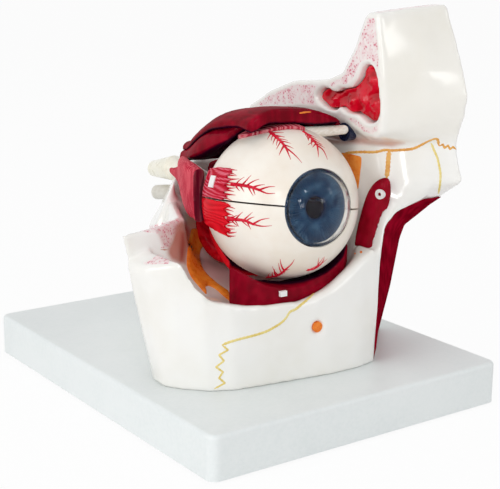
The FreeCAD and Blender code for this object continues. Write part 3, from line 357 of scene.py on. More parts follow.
def finish_paint(tree, shader, colour, roughness, height, depth, strength=0.6):
    """Wires a colour, a roughness and a bump of depth mm into a shader."""
    tree.links.new(colour, shader.inputs["Base Color"])
    tree.links.new(roughness, shader.inputs["Roughness"])
    bump = add(tree, "Bump", {"Height": height, "Distance": depth * MM, "Strength": strength})
    tree.links.new(bump.outputs["Normal"], shader.inputs["Normal"])


# ---- materials
COAT_ROUGHNESS = 0.12
# Tints laid on the bone by attribute: brown and blush are painted shade, reddish and pinkish; streak is a
# dark red streak; cream is a cream tint, and faint painted shade on the forehead.
TINTS_AND_PAINTED_SHADE = {"brown": (0.62, 0.27, 0.20), "blush": (0.86, 0.70, 0.66), "streak": (0.50, 0.10, 0.07),
          "cream": (0.86, 0.74, 0.50)}
# Near-black of the painted shade on the muscles; the sac's darker panel uses it too.
UNDERSIDE_SHADE = (0.022, 0.001, 0.012)


def painted(name, dark, middle, light, broad, fine, gloss, depth, coat=0.0, stretch=(1, 1, 1), spread=0.16,
            specular=0.5):
    """Painted plastic: broad patches of three close colours, a fine grain and uneven gloss.

    The patches are about broad mm wide, the grains fine mm, and the grain's bump is depth mm high.
    """
    made, tree, shader = new_material(name, middle, gloss, Coat_Weight=coat, Coat_Roughness=COAT_ROUGHNESS,
                                      Specular_IOR_Level=specular)
    patches = grain(tree, coordinates(tree), broad, 4)
    grains = grain(tree, coordinates(tree, stretch), fine, 5, 0.6)
    mixed = calc(tree, "ADD", patches, grains)
    factor = between(tree, mixed, 1 - 2 * spread, 1 + 2 * spread)
    colour = ramp(tree, factor, [(0, dark), (0.5, middle), (1, light)])
    uneven = between(tree, grains, 0.3, 0.7, gloss * 0.8, gloss * 1.25)
    finish_paint(tree, shader, colour, uneven, grains, depth)
    return made


def bone_paint():
    """Glossy ivory, with stippled red marrow where the bone is sawn, and soft painted shade and tints in
    the orbit, under the brow and on the forehead.
    """
    made, tree, shader = new_material("bone_paint", (0.90, 0.89, 0.85), 0.24, Coat_Weight=0.6,
                                      Coat_Roughness=0.11)
    where = coordinates(tree)
    broad = grain(tree, where, 34, 3)
    ivory = ramp(tree, between(tree, broad, 0.3, 0.7),
                 [(0, (0.885, 0.865, 0.81)), (0.55, (0.915, 0.90, 0.86)), (1, (0.93, 0.92, 0.89))])
    cells = add(tree, "TexVoronoi", {"Vector": where, "Scale": 1 / (1.25 * MM)}).outputs["Distance"]
    clumps = grain(tree, where, 3.2, 3, 0.6)
    dots = between(tree, cells, 0.30, 0.44, 1, 0)
    specks = calc(tree, "MULTIPLY", dots, between(tree, clumps, 0.40, 0.58))
    pink = blend(tree, between(tree, clumps, 0.35, 0.7), (0.92, 0.84, 0.82), (0.86, 0.62, 0.64))
    marrow = blend(tree, specks, pink, (0.66, 0.14, 0.21))
    ragged = calc(tree, "ADD", mesh_value(tree, "sawn"), grain(tree, where, 2.4, 3))
    mask = between(tree, ragged, 2.4, 3.1)
    colour = blend(tree, mask, ivory, marrow)
    # Painted shade and tints, each blended in where its attribute is set.
    for name, tint in TINTS_AND_PAINTED_SHADE.items():
        uneven = between(tree, broad, 0.2, 0.8, 0.8, 1.1)
        colour = blend(tree, calc(tree, "MULTIPLY", mesh_value(tree, name), uneven), colour, tint)
    rough = calc(tree, "MAXIMUM", between(tree, broad, 0.3, 0.7, 0.15, 0.22), mask)
    pits = calc(tree, "MULTIPLY", specks, mask)
    finish_paint(tree, shader, colour, calc(tree, "MINIMUM", rough, 0.45), pits, -0.06, 0.4)
    return made


def sclera_paint():
    """Cream white with a faint blush, glossy."""
    made, tree, shader = new_material("sclera_paint", (0.90, 0.83, 0.74), 0.3, Coat_Weight=0.12,
                                      Coat_Roughness=COAT_ROUGHNESS)
    where = coordinates(tree)
    broad = grain(tree, where, 26, 3)
    small = grain(tree, where, 2.2, 4)
    cream = ramp(tree, between(tree, broad, 0.3, 0.7),
                 [(0, (0.86, 0.77, 0.66)), (0.5, (0.90, 0.83, 0.74)), (1, (0.93, 0.88, 0.80))])
    warm = blend(tree, between(tree, small, 0.55, 0.85, 0, 0.25), cream, (0.86, 0.68, 0.58))
    finish_paint(tree, shader, warm, between(tree, small, 0.3, 0.7, 0.3, 0.38), small, 0.01, 0.2)
    return made


def iris_paint():
    """Steel blue with radial fibres and a dark outer ring, driven by the fold and radius of the mesh."""
    made, tree, shader = new_material("iris_paint", (0.04, 0.07, 0.12), 0.4, Specular_IOR_Level=0.0)
    cloud = grain(tree, coordinates(tree), 5, 4, 0.65)
    mixed = calc(tree, "ADD", mesh_value(tree, "fold"), calc(tree, "MULTIPLY", cloud, 5.0))
    blue = ramp(tree, between(tree, mixed, 2.1, 4.1),
                [(0, (0.004, 0.016, 0.044)), (0.5, (0.009, 0.033, 0.074)), (1, (0.034, 0.078, 0.130))])
    radius = mesh_value(tree, "radius")
    outer = blend(tree, between(tree, radius, 15.8, 17.4), blue, (0.006, 0.012, 0.028))
    inner = blend(tree, between(tree, radius, 6.4, 5.3), outer, (0.004, 0.008, 0.03))
    finish_paint(tree, shader, inner, between(tree, cloud, 0.3, 0.7, 0.24, 0.4), cloud, 0.08, 0.4)
    return made


def clear_paint(name, colour, roughness, ior):
    """Clear plastic. Shadow rays pass through it, so that what is behind it is lit."""
    made, tree, shader = new_material(name, colour, roughness, Transmission_Weight=1.0, IOR=ior)
    small = grain(tree, coordinates(tree), 5, 2)
    tree.links.new(between(tree, small, 0.3, 0.7, roughness, roughness * 1.8), shader.inputs["Roughness"])
    shadow = add(tree, "LightPath").outputs["Is Shadow Ray"]
    through = add(tree, "BsdfTransparent", {"Color": (0.96, 0.97, 0.97, 1)})
    mix = add(tree, "MixShader", {"Fac": shadow, 1: shader.outputs["BSDF"], 2: through.outputs["BSDF"]})
    tree.links.new(mix.outputs["Shader"], tree.nodes["Material Output"].inputs["Surface"])
    return made


def muscle_paint(name, dark, middle, light, gloss, coat, grooves=0.5):
    """Painted muscle: raised fibres are lighter than the furrows, and painted shade makes the undersides
    nearly black.
    """
    made, tree, shader = new_material(name, middle, gloss, Coat_Weight=coat, Coat_Roughness=0.1,
                                      Specular_IOR_Level=0.0)
    where = coordinates(tree)
    broad = grain(tree, where, 14, 3)
    small = grain(tree, where, 1.1, 4, 0.6)
    mixed = add(tree, "MixRGB", {"Fac": 1 - grooves, "Color1": mesh_value(tree, "fibre"),
                                 "Color2": broad}).outputs["Color"]
    colour = ramp(tree, between(tree, mixed, 0.22, 0.78), [(0, dark), (0.5, middle), (1, light)])
    colour = blend(tree, mesh_value(tree, "shade"), colour, UNDERSIDE_SHADE)
    uneven = between(tree, small, 0.3, 0.7, gloss * 0.75, gloss * 1.3)
    finish_paint(tree, shader, colour, uneven, small, 0.04, 0.3)
    return made


CRIMSON = muscle_paint(
    "muscle_crimson", (0.16, 0.001, 0.008), (0.24, 0.001, 0.012), (0.34, 0.003, 0.020), 0.26, 0.1, 0.2)
LATERAL = muscle_paint(
    "muscle_lateral", (0.40, 0.012, 0.035), (0.58, 0.036, 0.068), (0.74, 0.13, 0.16), 0.4, 0.12, 0.75)
SCARLET = muscle_paint(
    "muscle_scarlet", (0.54, 0.002, 0.010), (0.72, 0.003, 0.015), (0.80, 0.012, 0.025), 0.3, 0.2)
ROSE = muscle_paint(
    "insertion_rose", (0.38, 0.012, 0.035), (0.55, 0.06, 0.09), (0.70, 0.24, 0.26), 0.36, 0.15, 0.6)
COMB = muscle_paint(
    "insertion_comb", (0.46, 0.004, 0.020), (0.60, 0.020, 0.050), (0.74, 0.16, 0.22), 0.3, 0.15, 0.6)
MUCOSA = muscle_paint(
    "mucosa_red", (0.46, 0.002, 0.010), (0.64, 0.003, 0.018), (0.72, 0.008, 0.03), 0.14, 0.7)
DARK_MUCOSA = muscle_paint(
    "mucosa_dark", (0.20, 0.001, 0.008), (0.28, 0.002, 0.013), (0.36, 0.004, 0.022), 0.2, 0.12, 0.3)
LINING = muscle_paint(
    "mucosa_lining", (0.16, 0.001, 0.008), (0.25, 0.002, 0.013), (0.36, 0.004, 0.022), 0.3, 0.0, 0.3)
BONE = bone_paint()
SCLERA = sclera_paint()
IRIS = iris_paint()
PLATE = painted(
    "plate_plastic", (0.80, 0.84, 0.835), (0.83, 0.865, 0.86), (0.85, 0.88, 0.875), 40, 2, 0.42, 0.005)
RUBBER = painted(
    "foot_rubber", (0.010, 0.010, 0.010), (0.02, 0.02, 0.02), (0.035, 0.035, 0.035), 6, 0.5, 0.75, 0.08)
STEEL = painted(
    "screw_steel", (0.34, 0.34, 0.35), (0.44, 0.44, 0.45), (0.55, 0.55, 0.56),
    3, 0.3, 0.34, 0.02, stretch=(1, 1, 8))
STEEL.node_tree.nodes["Principled BSDF"].inputs["Metallic"].default_value = 1.0
IVORY = painted(
    "tendon_ivory", (0.80, 0.74, 0.62), (0.87, 0.83, 0.74), (0.92, 0.90, 0.84),
    8, 0.8, 0.26, 0.05, coat=0.3, stretch=(0.3, 1, 1))
NERVE = painted(
    "nerve_ivory", (0.86, 0.82, 0.68), (0.90, 0.87, 0.74), (0.93, 0.90, 0.80), 14, 4, 0.3, 0.01, coat=0.2)
STUMP = painted(
    "nerve_stump", (0.60, 0.57, 0.50), (0.68, 0.65, 0.58), (0.75, 0.72, 0.66), 14, 4, 0.36, 0.01)
ORANGE = painted(
    "paint_orange", (0.78, 0.16, 0.02), (0.92, 0.26, 0.035), (0.95, 0.34, 0.06),
    7, 1.6, 0.4, 0.02, specular=0.2)
BAND = painted(
    "paint_band", (0.80, 0.14, 0.015), (0.95, 0.26, 0.025), (0.98, 0.38, 0.05),
    11, 3.5, 0.3, 0.02, coat=0.3, spread=0.22, specular=0.1)
YELLOW = painted(
    "paint_yellow", (0.72, 0.53, 0.13), (0.82, 0.65, 0.20), (0.86, 0.74, 0.34), 6, 1.6, 0.45, 0.02)
SUTURE = painted(
    "paint_suture", (0.66, 0.27, 0.04), (0.78, 0.38, 0.07), (0.82, 0.48, 0.14), 6, 1.6, 0.45, 0.02)
VESSEL = painted(
    "paint_vessel", (0.52, 0.004, 0.02), (0.66, 0.01, 0.035), (0.74, 0.05, 0.08),
    5, 1.2, 0.3, 0.01, specular=0.1)
NAVY = painted(
    "pulley_navy", (0.006, 0.010, 0.035), (0.012, 0.02, 0.06), (0.03, 0.045, 0.10),
    5, 0.6, 0.25, 0.04, coat=0.4, specular=0.2)
TAG = painted("tag_white", (0.84, 0.84, 0.83), (0.89, 0.89, 0.88), (0.92, 0.92, 0.91), 4, 0.5, 0.5, 0.03)
BRACKET = painted(
    "bracket_plastic", (0.74, 0.71, 0.63), (0.82, 0.79, 0.72), (0.87, 0.85, 0.79), 10, 0.7, 0.36, 0.04)
CHOROID = painted(
    "choroid_brown", (0.05, 0.010, 0.008), (0.10, 0.02, 0.015), (0.17, 0.045, 0.03), 6, 0.8, 0.55, 0.06)
BROWN = painted(
    "bone_brown", (0.36, 0.09, 0.05), (0.50, 0.20, 0.13), (0.62, 0.36, 0.28), 8, 1.4, 0.4, 0.06, spread=0.2)
CLEAR = clear_paint("clear_cornea", (0.97, 0.98, 0.99), 0.012, 1.22)
LENS = clear_paint("clear_lens", (0.45, 0.50, 0.86), 0.03, 1.12)
VITREOUS = clear_paint("clear_vitreous", (0.80, 0.86, 0.96), 0.03, 1.08)


def dress_cad_nodes():
    """Materials for the CAD nodes that are shown as they are."""
    for material, names in [
            (PLATE, ["base_plate", "base_cover"]), (RUBBER, ["base_feet"]),
            (STEEL, ["casting_screws", "cover_screws", "guide_pins", "mounting_pin"]),
            (SCLERA, ["upper_sclera", "lower_sclera"]), (CHOROID, ["upper_choroid", "lower_choroid"]),
            (IVORY, ["oblique_tendon"]), (NERVE, ["optic_nerve", "optic_nerve_stub"]),
            (STUMP, ["maxillary_nerve"]), (ORANGE, ["infraorbital_nerve"]), (NAVY, ["trochlea"]),
            (TAG, ["sac_tag", "oblique_tag", "insertion_tag"]), (BRACKET, ["eyeball_bracket"]),
            (CLEAR, ["cornea"]), (LENS, ["lens"]), (VITREOUS, ["vitreous_body"])]:
        for name in names:
            dress(nodes[name].data, material)


# ---- bone
CASTINGS = ["maxilla_casting", "sphenoid_casting", "nasal_casting", "frontal_casting"]
BONE_VOXEL, BONE_ROUNDS = 1.1, 34
FLAT_WITHIN, FLAT_FACING = 0.3, 0.9  # a point of a cut is this near its plane and faces this much its way
CRISP_REACH, LEAST_SOFT = 3.5, 0.4  # the bone is softer away from the cuts
HAND_WAVE, HAND_SIZE = 0.12, 19  # height and length of the unevenness of a casting
MARROW_RIM = 2.75  # "sawn" along the outline of a marrow area; it counts the mm from an edge
CLEAR_OF_SKIN = 1.5
PIXELS_PER_MM = 1.9


def near(first, second, fallback):
    """Distance from each of the first points to the nearest of the second."""
    if not len(second):
        return np.full(len(first), fallback)
    finder = kdtree.KDTree(len(second))
    for index, point in enumerate(second):
        finder.insert(point, index)
    finder.balance()
    return np.array([finder.find(point)[2] for point in first])


def unhidden(tree, points, facing, wanted):
    """Which of the wanted points, in mm, nothing of a mesh hides from the camera."""
    found = np.zeros(len(points), bool)
    for index in np.nonzero(wanted)[0]:
        start = Vector((points[index] + CLEAR_OF_SKIN * facing[index]) * MM)
        found[index] = tree.ray_cast(start, (EYE_POINT - start).normalized())[0] is None
    return found


def build_bone():
    """The four castings as one skin: soft everywhere but flat and crisp at the saw cuts."""
    mesh = skin("bone", CASTINGS, BONE_VOXEL)
    points = points_of(mesh) / MM
    facing = normals_of(mesh)
    x, y, z = points.T

    def on(axis, value, way, extra=True):
        level = np.abs(points[:, axis] - value) < FLAT_WITHIN
        return level & (facing[:, axis] * way > FLAT_FACING) & extra

    face_cut = on(0, CUT_X, -1, z > FACE_CUT_LOW)
    top_cut = (facing[:, 2] > FLAT_FACING) & (z > TOP_CUT_LOW)
    midline_cut = on(0, MIDLINE_X, 1, z > MIDLINE_CUT_LOW)
    flats = [(2, on(2, STEP_LOW, 1, y < RISER_Y)), (2, on(2, STEP_HIGH, 1)), (0, face_cut), (2, top_cut),
             (2, on(2, BASE_TOP, -1)), (0, on(0, MIDLINE_X, 1)), (1, on(1, RISER_Y, -1, x < RISER_X)),
             (1, on(1, REAR_Y, 1))]
    level = np.any([group for _, group in flats], axis=0)
    softness = np.clip(near(points, points[level], 99) / CRISP_REACH, LEAST_SOFT, 1)
    freedom = np.repeat(softness[:, None], 3, axis=1)
    for axis, group in flats:
        freedom[group, axis] = 0
    sawn = np.zeros(len(points))
    for group in (face_cut, top_cut, midline_cut):
        sawn[group] = near(points[group], points[~group], 9)
    smooth(mesh, BONE_ROUNDS, freedom)
    after = points_of(mesh) / MM
    push(mesh, np.where(level, 0, softness) * HAND_WAVE * wave(after, 11, HAND_SIZE))
    spots = seen_at(after)
    tree = tree_of(mesh)
    for outline in MARROW_AREAS:
        inside = depth_inside(spots, outline) / PIXELS_PER_MM
        visible = unhidden(tree, after, facing, inside > -2)
        sawn = np.where(visible, np.maximum(sawn, MARROW_RIM + inside), sawn)
    attribute(mesh, "sawn", sawn)
    # Painted shade and tints, where their outlines in the main view cover bone that the camera sees.
    for name in TINTS_AND_PAINTED_SHADE:
        total = np.zeros(len(after))
        for _, strength, edge, outline in [area for area in TINT_AND_SHADE_AREAS if area[0] == name]:
            amount = strength * np.clip(depth_inside(spots, outline) / edge + 0.5, 0, 1)
            visible = unhidden(tree, after, facing, amount > 0)
            total = np.where(visible, np.maximum(total, amount), total)
        attribute(mesh, name, total)
    bone = place("bone", mesh, "stand", BONE)
    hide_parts(*CASTINGS)
    return mesh


# ---- paint laid on the bone
LINE_STEP, LINE_JUMP, LINE_TAPER = 0.8, 12, 4
LINE_PROFILE = (-1, -0.55, 0, 0.55, 1)
RIM_CLEARANCE, RIM_WIDTH = 0.55, 1.6
LINE_SINK, PATCH_SINK = 0.05, 0.04


def thread(points, step):
    """A smooth open curve through points, sampled about every step."""
    points = [np.array(point, float) for point in points]
    path = []
    padded = [2 * points[0] - points[1]] + points + [2 * points[-1] - points[-2]]
    for a, b, c, d in zip(padded, padded[1:], padded[2:], padded[3:]):
        pieces = max(1, int(np.linalg.norm(c - b) / step))
        for part in range(pieces):
            t = part / pieces
            path.append(0.5 * (2 * b + (c - a) * t + (2 * a - 5 * b + 4 * c - d) * t ** 2
                               + (3 * b - a - 3 * c + d) * t ** 3))
    path.append(points[-1])
    return path


def densify(line, step):
    """Straight runs between 2-D points, sampled about every step."""
    path = []
    for a, b in zip(line, line[1:]):
        a, b = np.array(a, float), np.array(b, float)
        pieces = max(1, int(np.linalg.norm(b - a) / step))
        path.extend([a + (b - a) * part / pieces for part in range(pieces)])
    path.append(np.array(line[-1], float))
    return path


def seen(tree, x, y):
    """Where a sight line through the main view meets a mesh, with the normal there."""
    spot, normal, _, _ = tree.ray_cast(EYE_POINT, sight(x, y))
    return spot, normal


def ribbon(name, tree, line, width, height=0.28, corners=False, material=SUTURE):
    """A thin raised line of paint, width mm wide, along points of the main view."""
    flat_path = densify(line, LINE_STEP) if corners else thread(line, LINE_STEP)
    path = [seen(tree, *point) for point in flat_path]
    path = [(spot, normal) for spot, normal in path if spot is not None]
    points, faces, last = [], [], None
    for index, (spot, normal) in enumerate(path):
        way = path[min(index + 1, len(path) - 1)][0] - path[max(index - 1, 0)][0]
        if way.length < 1e-7 or way.length > LINE_JUMP * MM:
            last = None
            continue
        across = normal.cross(way).normalized()
        end = min(index, len(path) - 1 - index, LINE_TAPER) / LINE_TAPER
        # The brush swells and thins a little, and the ends taper.
        swing = 1 + 0.22 * sin(index * 1.7) * sin(index * 0.37)
        half = 0.5 * width * MM * swing * (0.45 + 0.55 * end)
        start = len(points)
        for part in LINE_PROFILE:
            base, base_normal, _, _ = tree.find_nearest(spot + across * (half * part))
            rise = height * (1 - part * part) * (0.4 + 0.6 * end) - LINE_SINK
            points.append(base + base_normal * (rise * MM))
        if last is not None:
            faces.extend([(last + k, last + k + 1, start + k + 1, start + k)
                          for k in range(len(LINE_PROFILE) - 1)])
        last = start
    place(name, mesh_of(name, points, faces), "stand", material)


def patch(name, tree, outline, material, height=0.3, farthest=6.0, pitch=1.2, keep=None, body="stand"):
    """A thin raised area of paint inside an outline of the main view."""
    rim = [Vector(point) for point in thread(list(outline) + [outline[0]], LINE_STEP)[:-1]]
    low = (min(p.x for p in rim), min(p.y for p in rim))
    high = (max(p.x for p in rim), max(p.y for p in rim))
    inner = [Vector((x, y)) for x in np.arange(low[0], high[0], pitch)
             for y in np.arange(low[1], high[1], pitch)]
    inner = [p for p in inner if min((p - q).length for q in rim) > RIM_CLEARANCE]
    count = len(rim)
    loops = [(index, (index + 1) % count) for index in range(count)]
    spots, _, triangles, _, _, _ = delaunay_2d_cdt(rim + inner, loops, [list(range(count))], 1, 1e-6)
    placed = []
    for spot in spots:
        where, normal = seen(tree, spot.x, spot.y)
        if where is None or (keep and not keep(where / MM)):
            placed.append(None)
            continue
        edge = min((spot - q).length for q in rim)
        placed.append(where + normal * ((height * min(edge / RIM_WIDTH, 1) ** 0.6 - PATCH_SINK) * MM))
    used = [t for t in triangles if all(placed[k] is not None for k in t)
            and max((placed[a] - placed[b]).length for a, b in zip(t, t[1:] + t[:1])) < farthest * MM]
    index = {old: new for new, old in enumerate(sorted({k for t in used for k in t}))}
    points = [placed[old] for old in index]
    place(name, mesh_of(name, points, [[index[k] for k in t] for t in used]), body, material)


CHEEK_SUTURE = [
    (324.5, 285), (321.5, 287), (316, 291), (309, 298), (302, 304), (296, 309), (290, 312), (286, 318),
    (281, 323), (273, 328), (265, 332), (252, 336), (240, 339), (230, 342), (222, 345)]
CHEEK_ZIGZAG = [
    (222, 345), (228, 350), (219, 355), (224, 361), (216, 367), (223, 372), (219, 378), (225, 383),
    (214, 389)]
BROW_SUTURE = [
    (345, 153), (360, 152), (375, 152), (385, 150), (392, 150.5), (400, 150), (408, 149.5), (415, 148),
    (423, 144), (430, 140.5), (437, 139), (439, 146)]
BROW_ZIGZAG = [(439, 146), (443, 144.5), (444.5, 148), (448, 145.5), (450, 149), (453, 147), (457, 150)]
WALL_SUTURE = [(389.5, 150), (388.5, 157), (388, 164), (387.5, 171), (386.5, 178)]
NASAL_SUTURE = [(431, 143), (434, 150), (437, 157), (439, 165), (440.5, 174), (440, 184), (438.5, 194)]
WALL_PATCH = [
    (340, 152.5), (347, 153), (355, 155), (361, 157), (361.5, 164), (360.5, 172), (359.5, 181), (358, 190),
    (355, 186), (352, 175), (347, 163)]
BAND_OUTLINE = [
    (191.4, 228.6), (188.5, 242), (187, 254), (186.6, 261), (187, 267), (190, 275), (194, 281), (200, 288),
    (205.4, 294), (207, 295.2), (206.4, 290.5), (205.6, 287), (208.5, 286), (215, 289), (222, 295),
    (230, 301.5), (236, 304.6), (243, 305.6), (242.5, 303.4), (236, 302.6), (232.9, 301), (231, 297),
    (228.6, 291.4), (224, 288), (218.6, 284.3), (210, 277), (206, 272.8), (202.9, 268.6), (200.6, 262.5),
    (200, 257), (200.3, 252.5), (201.6, 248.6), (204.6, 245), (207, 241.4), (207.7, 236), (207.9, 231.4),
    (200, 228.5)]
MARROW_AREAS = [
    [(142.5, 228.8), (158, 225), (176.7, 219.6), (180.8, 224.2), (173.3, 237.5), (168.3, 246.7),
     (161.7, 247.5), (160.4, 232.5), (142.5, 230.8)],
    [(144.2, 263.3), (152.5, 260), (160, 254.2), (168.3, 260), (168.3, 262.9)]]
LIP_SHADE = [
    (318, 136), (340, 137), (365, 137.5), (392, 140), (404, 143), (392, 147), (372, 144.5), (350, 143.5),
    (322, 144)]
RECESS = [
    (176, 226), (181, 221), (187, 224), (190.5, 232), (190, 246), (187, 256), (186, 264), (179, 262.5),
    (172, 259), (168.5, 254), (168.5, 249), (173, 239)]
RECESS_STREAK = [(181, 232), (184.5, 233), (186, 244), (184, 256), (180.5, 262), (180, 250)]
WEDGE = [(207.5, 233), (213, 235), (219, 246), (222, 257), (216, 256), (209, 247), (203, 246)]
FLOOR_BLUSH = [
    (203, 246), (211, 243), (222, 256), (230, 272), (231, 292), (222, 287), (210, 277), (201, 266)]
FORK_BLUSH = [(206, 286), (211, 285.5), (220, 292), (231, 300), (232, 304), (220, 302), (209, 297)]
CREAM_AREA = [(186, 215), (200, 213), (203, 227), (192, 229), (187, 224)]
FOREHEAD_SHADE = [(380, 18), (447, 4), (473, 90), (462, 140), (436, 138), (400, 144), (384, 138)]
# Painted shade under the brow lip, in the recess and the wedge, on the orbit floor and faintly on the
# forehead; a cream tint behind the lateral muscle.
TINT_AND_SHADE_AREAS = [  # attribute, strength, width of its soft edge in pixels, outline
    ("brown", 0.75, 4, LIP_SHADE), ("brown", 0.85, 4, RECESS), ("streak", 0.8, 4, RECESS_STREAK),
    ("brown", 0.9, 5, WEDGE), ("blush", 0.85, 5, FLOOR_BLUSH), ("blush", 0.7, 3, FORK_BLUSH),
    ("cream", 0.8, 4, CREAM_AREA), ("cream", 0.14, 14, FOREHEAD_SHADE)]
CUT_LINE = [(160.4, 249.6), (168.3, 249.8)]
SPOTS = [((361, 252), 1.5), ((355, 253.5), 1.1)]
STREAK = [(296, 113.8), (301, 112), (307, 111.2), (314, 112), (308, 112.9), (301.5, 113.9)]
SAC_PANEL = [(376.5, 224.5), (384, 224), (384.5, 240), (380, 262), (378.5, 262), (376, 247)]
SPOT_CORNERS, SPOT_TURN = 8, 0.785
BAND_FRONT_Y, BAND_TOP = -64, STEP_HIGH + 20


def inside_orbit(where):
    return where.y > BAND_FRONT_Y and where.z < BAND_TOP


def paint_bone(mesh):
    tree = tree_of(mesh)
    ribbon("cheek_suture", tree, CHEEK_SUTURE, 1.5, material=YELLOW)
    ribbon("cheek_zigzag", tree, CHEEK_ZIGZAG, 1.1, corners=True, material=YELLOW)
    ribbon("brow_suture", tree, BROW_SUTURE, 1.5)
    ribbon("brow_zigzag", tree, BROW_ZIGZAG, 1.2, corners=True)
    ribbon("wall_suture", tree, WALL_SUTURE, 2.6)
    ribbon("nasal_suture", tree, NASAL_SUTURE, 1.3, material=YELLOW)
    patch("wall_patch", tree, WALL_PATCH, ORANGE)
    ribbon("cut_line", tree, CUT_LINE, 0.7, 0.15, material=BROWN)
    patch("nerve_band", tree, BAND_OUTLINE, BAND, 1.1, farthest=14, keep=inside_orbit)
    for index, ((x, y), radius) in enumerate(SPOTS, start=1):
        ring = [(x + radius * cos(k * SPOT_TURN), y + radius * sin(k * SPOT_TURN))
                for k in range(SPOT_CORNERS)]
        patch(f"orange_spot_{index}", tree, ring, ORANGE, pitch=0.6)


# ---- soft parts
# (y, half width) and (y, x of the middle) of the upper muscles, from the eyeball's centre.
FAN_WIDTH = [(-5, 29), (21, 27), (50, 19), (78, 9), (90, 5.5)]
FAN_MIDDLE = [(-5, 5), (21, 6.8), (50, 5.1), (90, 5.3)]
FAN_FIBRES = 22
DRIFT_ACROSS, DRIFT_ALONG = 6, 22  # mm over which the paths of fibres wander


def ridges(across, along, spacing, seed, wander=0.5):
    """Height between 0 and 1 of fibres that run along, spaced across, with their paths wandering."""
    spots = np.stack([across / DRIFT_ACROSS, along / DRIFT_ALONG, np.zeros(len(across))], axis=1)
    drift = wave(spots, seed, 1) * spacing * wander
    coarse = 0.5 + 0.5 * np.sin((across + drift) * 2 * pi / spacing)
    fine = 0.5 + 0.5 * np.sin((across * 1.07 - drift) * 2 * pi / (spacing * 0.43) + 1)
    return np.clip(0.68 * coarse ** 0.8 + 0.32 * fine, 0, 1)


def plain_height(points):
    return 0.5 + 0.5 * wave(points, 5, 6)


def soft_part(name, cad, body, material, voxel, rounds, depth=0.0, fibres=plain_height, swell=0.0,
              dark=None):
    """A muscle or lining as a smooth skin in its CAD node's place, with raised fibres."""
    mesh = skin(name, [cad], voxel)
    smooth(mesh, rounds)
    points = points_of(mesh) / MM
    if dark:
        attribute(mesh, "shade", dark(points, normals_of(mesh)))
    height = fibres(points)
    attribute(mesh, "fibre", height)
    push(mesh, depth * (height - 0.6) + swell)
    made = place(name, mesh, body, material)
    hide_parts(cad)
    return mesh


def upper_fibres(points):
    """Fibres fan out from the apex over the eyeball."""
    x, y, _ = (points - EYE_CENTRE).T
    spread = np.interp(y, *zip(*FAN_WIDTH))
    middle = np.interp(y, *zip(*FAN_MIDDLE))
    return ridges((x - middle) / spread * FAN_FIBRES, y, 4.6, 3)


def lateral_fibres(points):
    x, y, z = (points - EYE_CENTRE).T
    return ridges(y + 0.25 * x, z, 1.3, 4, 0.25)


def inner_fibres(points):
    return ridges(points[:, 2], points[:, 1], 3.2, 6)


def floor_fibres(points):
    return ridges(points[:, 0], points[:, 1], 3.6, 7)


def comb_fibres(points):
    """Fibres of the lateral insertion run forwards, one above the other."""
    local = in_eye(points)
    return ridges(local[:, 2] - 0.12 * local[:, 1], local[:, 1], 2.1, 8, 0.9)


def top_fibres(points):
    local = in_eye(points)
    return ridges(local[:, 0], local[:, 1], 1.9, 9, 0.9)


def lump_height(points):
    """Soft lumps of mucous lining."""
    return np.clip(0.5 + 0.55 * wave(points, 21, 10) + 0.08 * wave(points, 22, 3.5), 0, 1)


def rising(values, start, run):
    """0 up to start, 1 from start + run on, and straight between them."""
    return np.clip((values - start) / run, 0, 1)


def toward_ball(points, facing):
    return np.sum(facing * unit(EYE_CENTRE - points), axis=1)


def underside(points, facing):
    """Painted shade: 1 where a muscle faces the eyeball or the floor."""
    return rising(np.maximum(toward_ball(points, facing), -facing[:, 2]), 0.25, 0.35)


def sac_panel(points, facing):
    """The darker panel low on the sac, where its duct begins."""
    return 0.45 * np.clip(depth_inside(seen_at(points), SAC_PANEL) + 0.5, 0, 1)


def gap_side(points, facing):
    """Painted shade on the front end of the lateral muscle, which faces the gap before the eyeball's
    insertion.
    """
    forward = -(facing @ EYE_AXES)[:, 1]
    return 0.9 * rising(forward, 0.55, 0.25) * np.clip((4.0 - off_ball(points)) / 1.2, 0.8, 1)


def ball_side(points, facing):
    """Painted shade: 1 where a muscle under the eyeball faces it closely."""
    return rising(toward_ball(points, facing), 0.1, 0.3) * np.clip((4.2 - off_ball(points)) / 1.4, 0, 1)


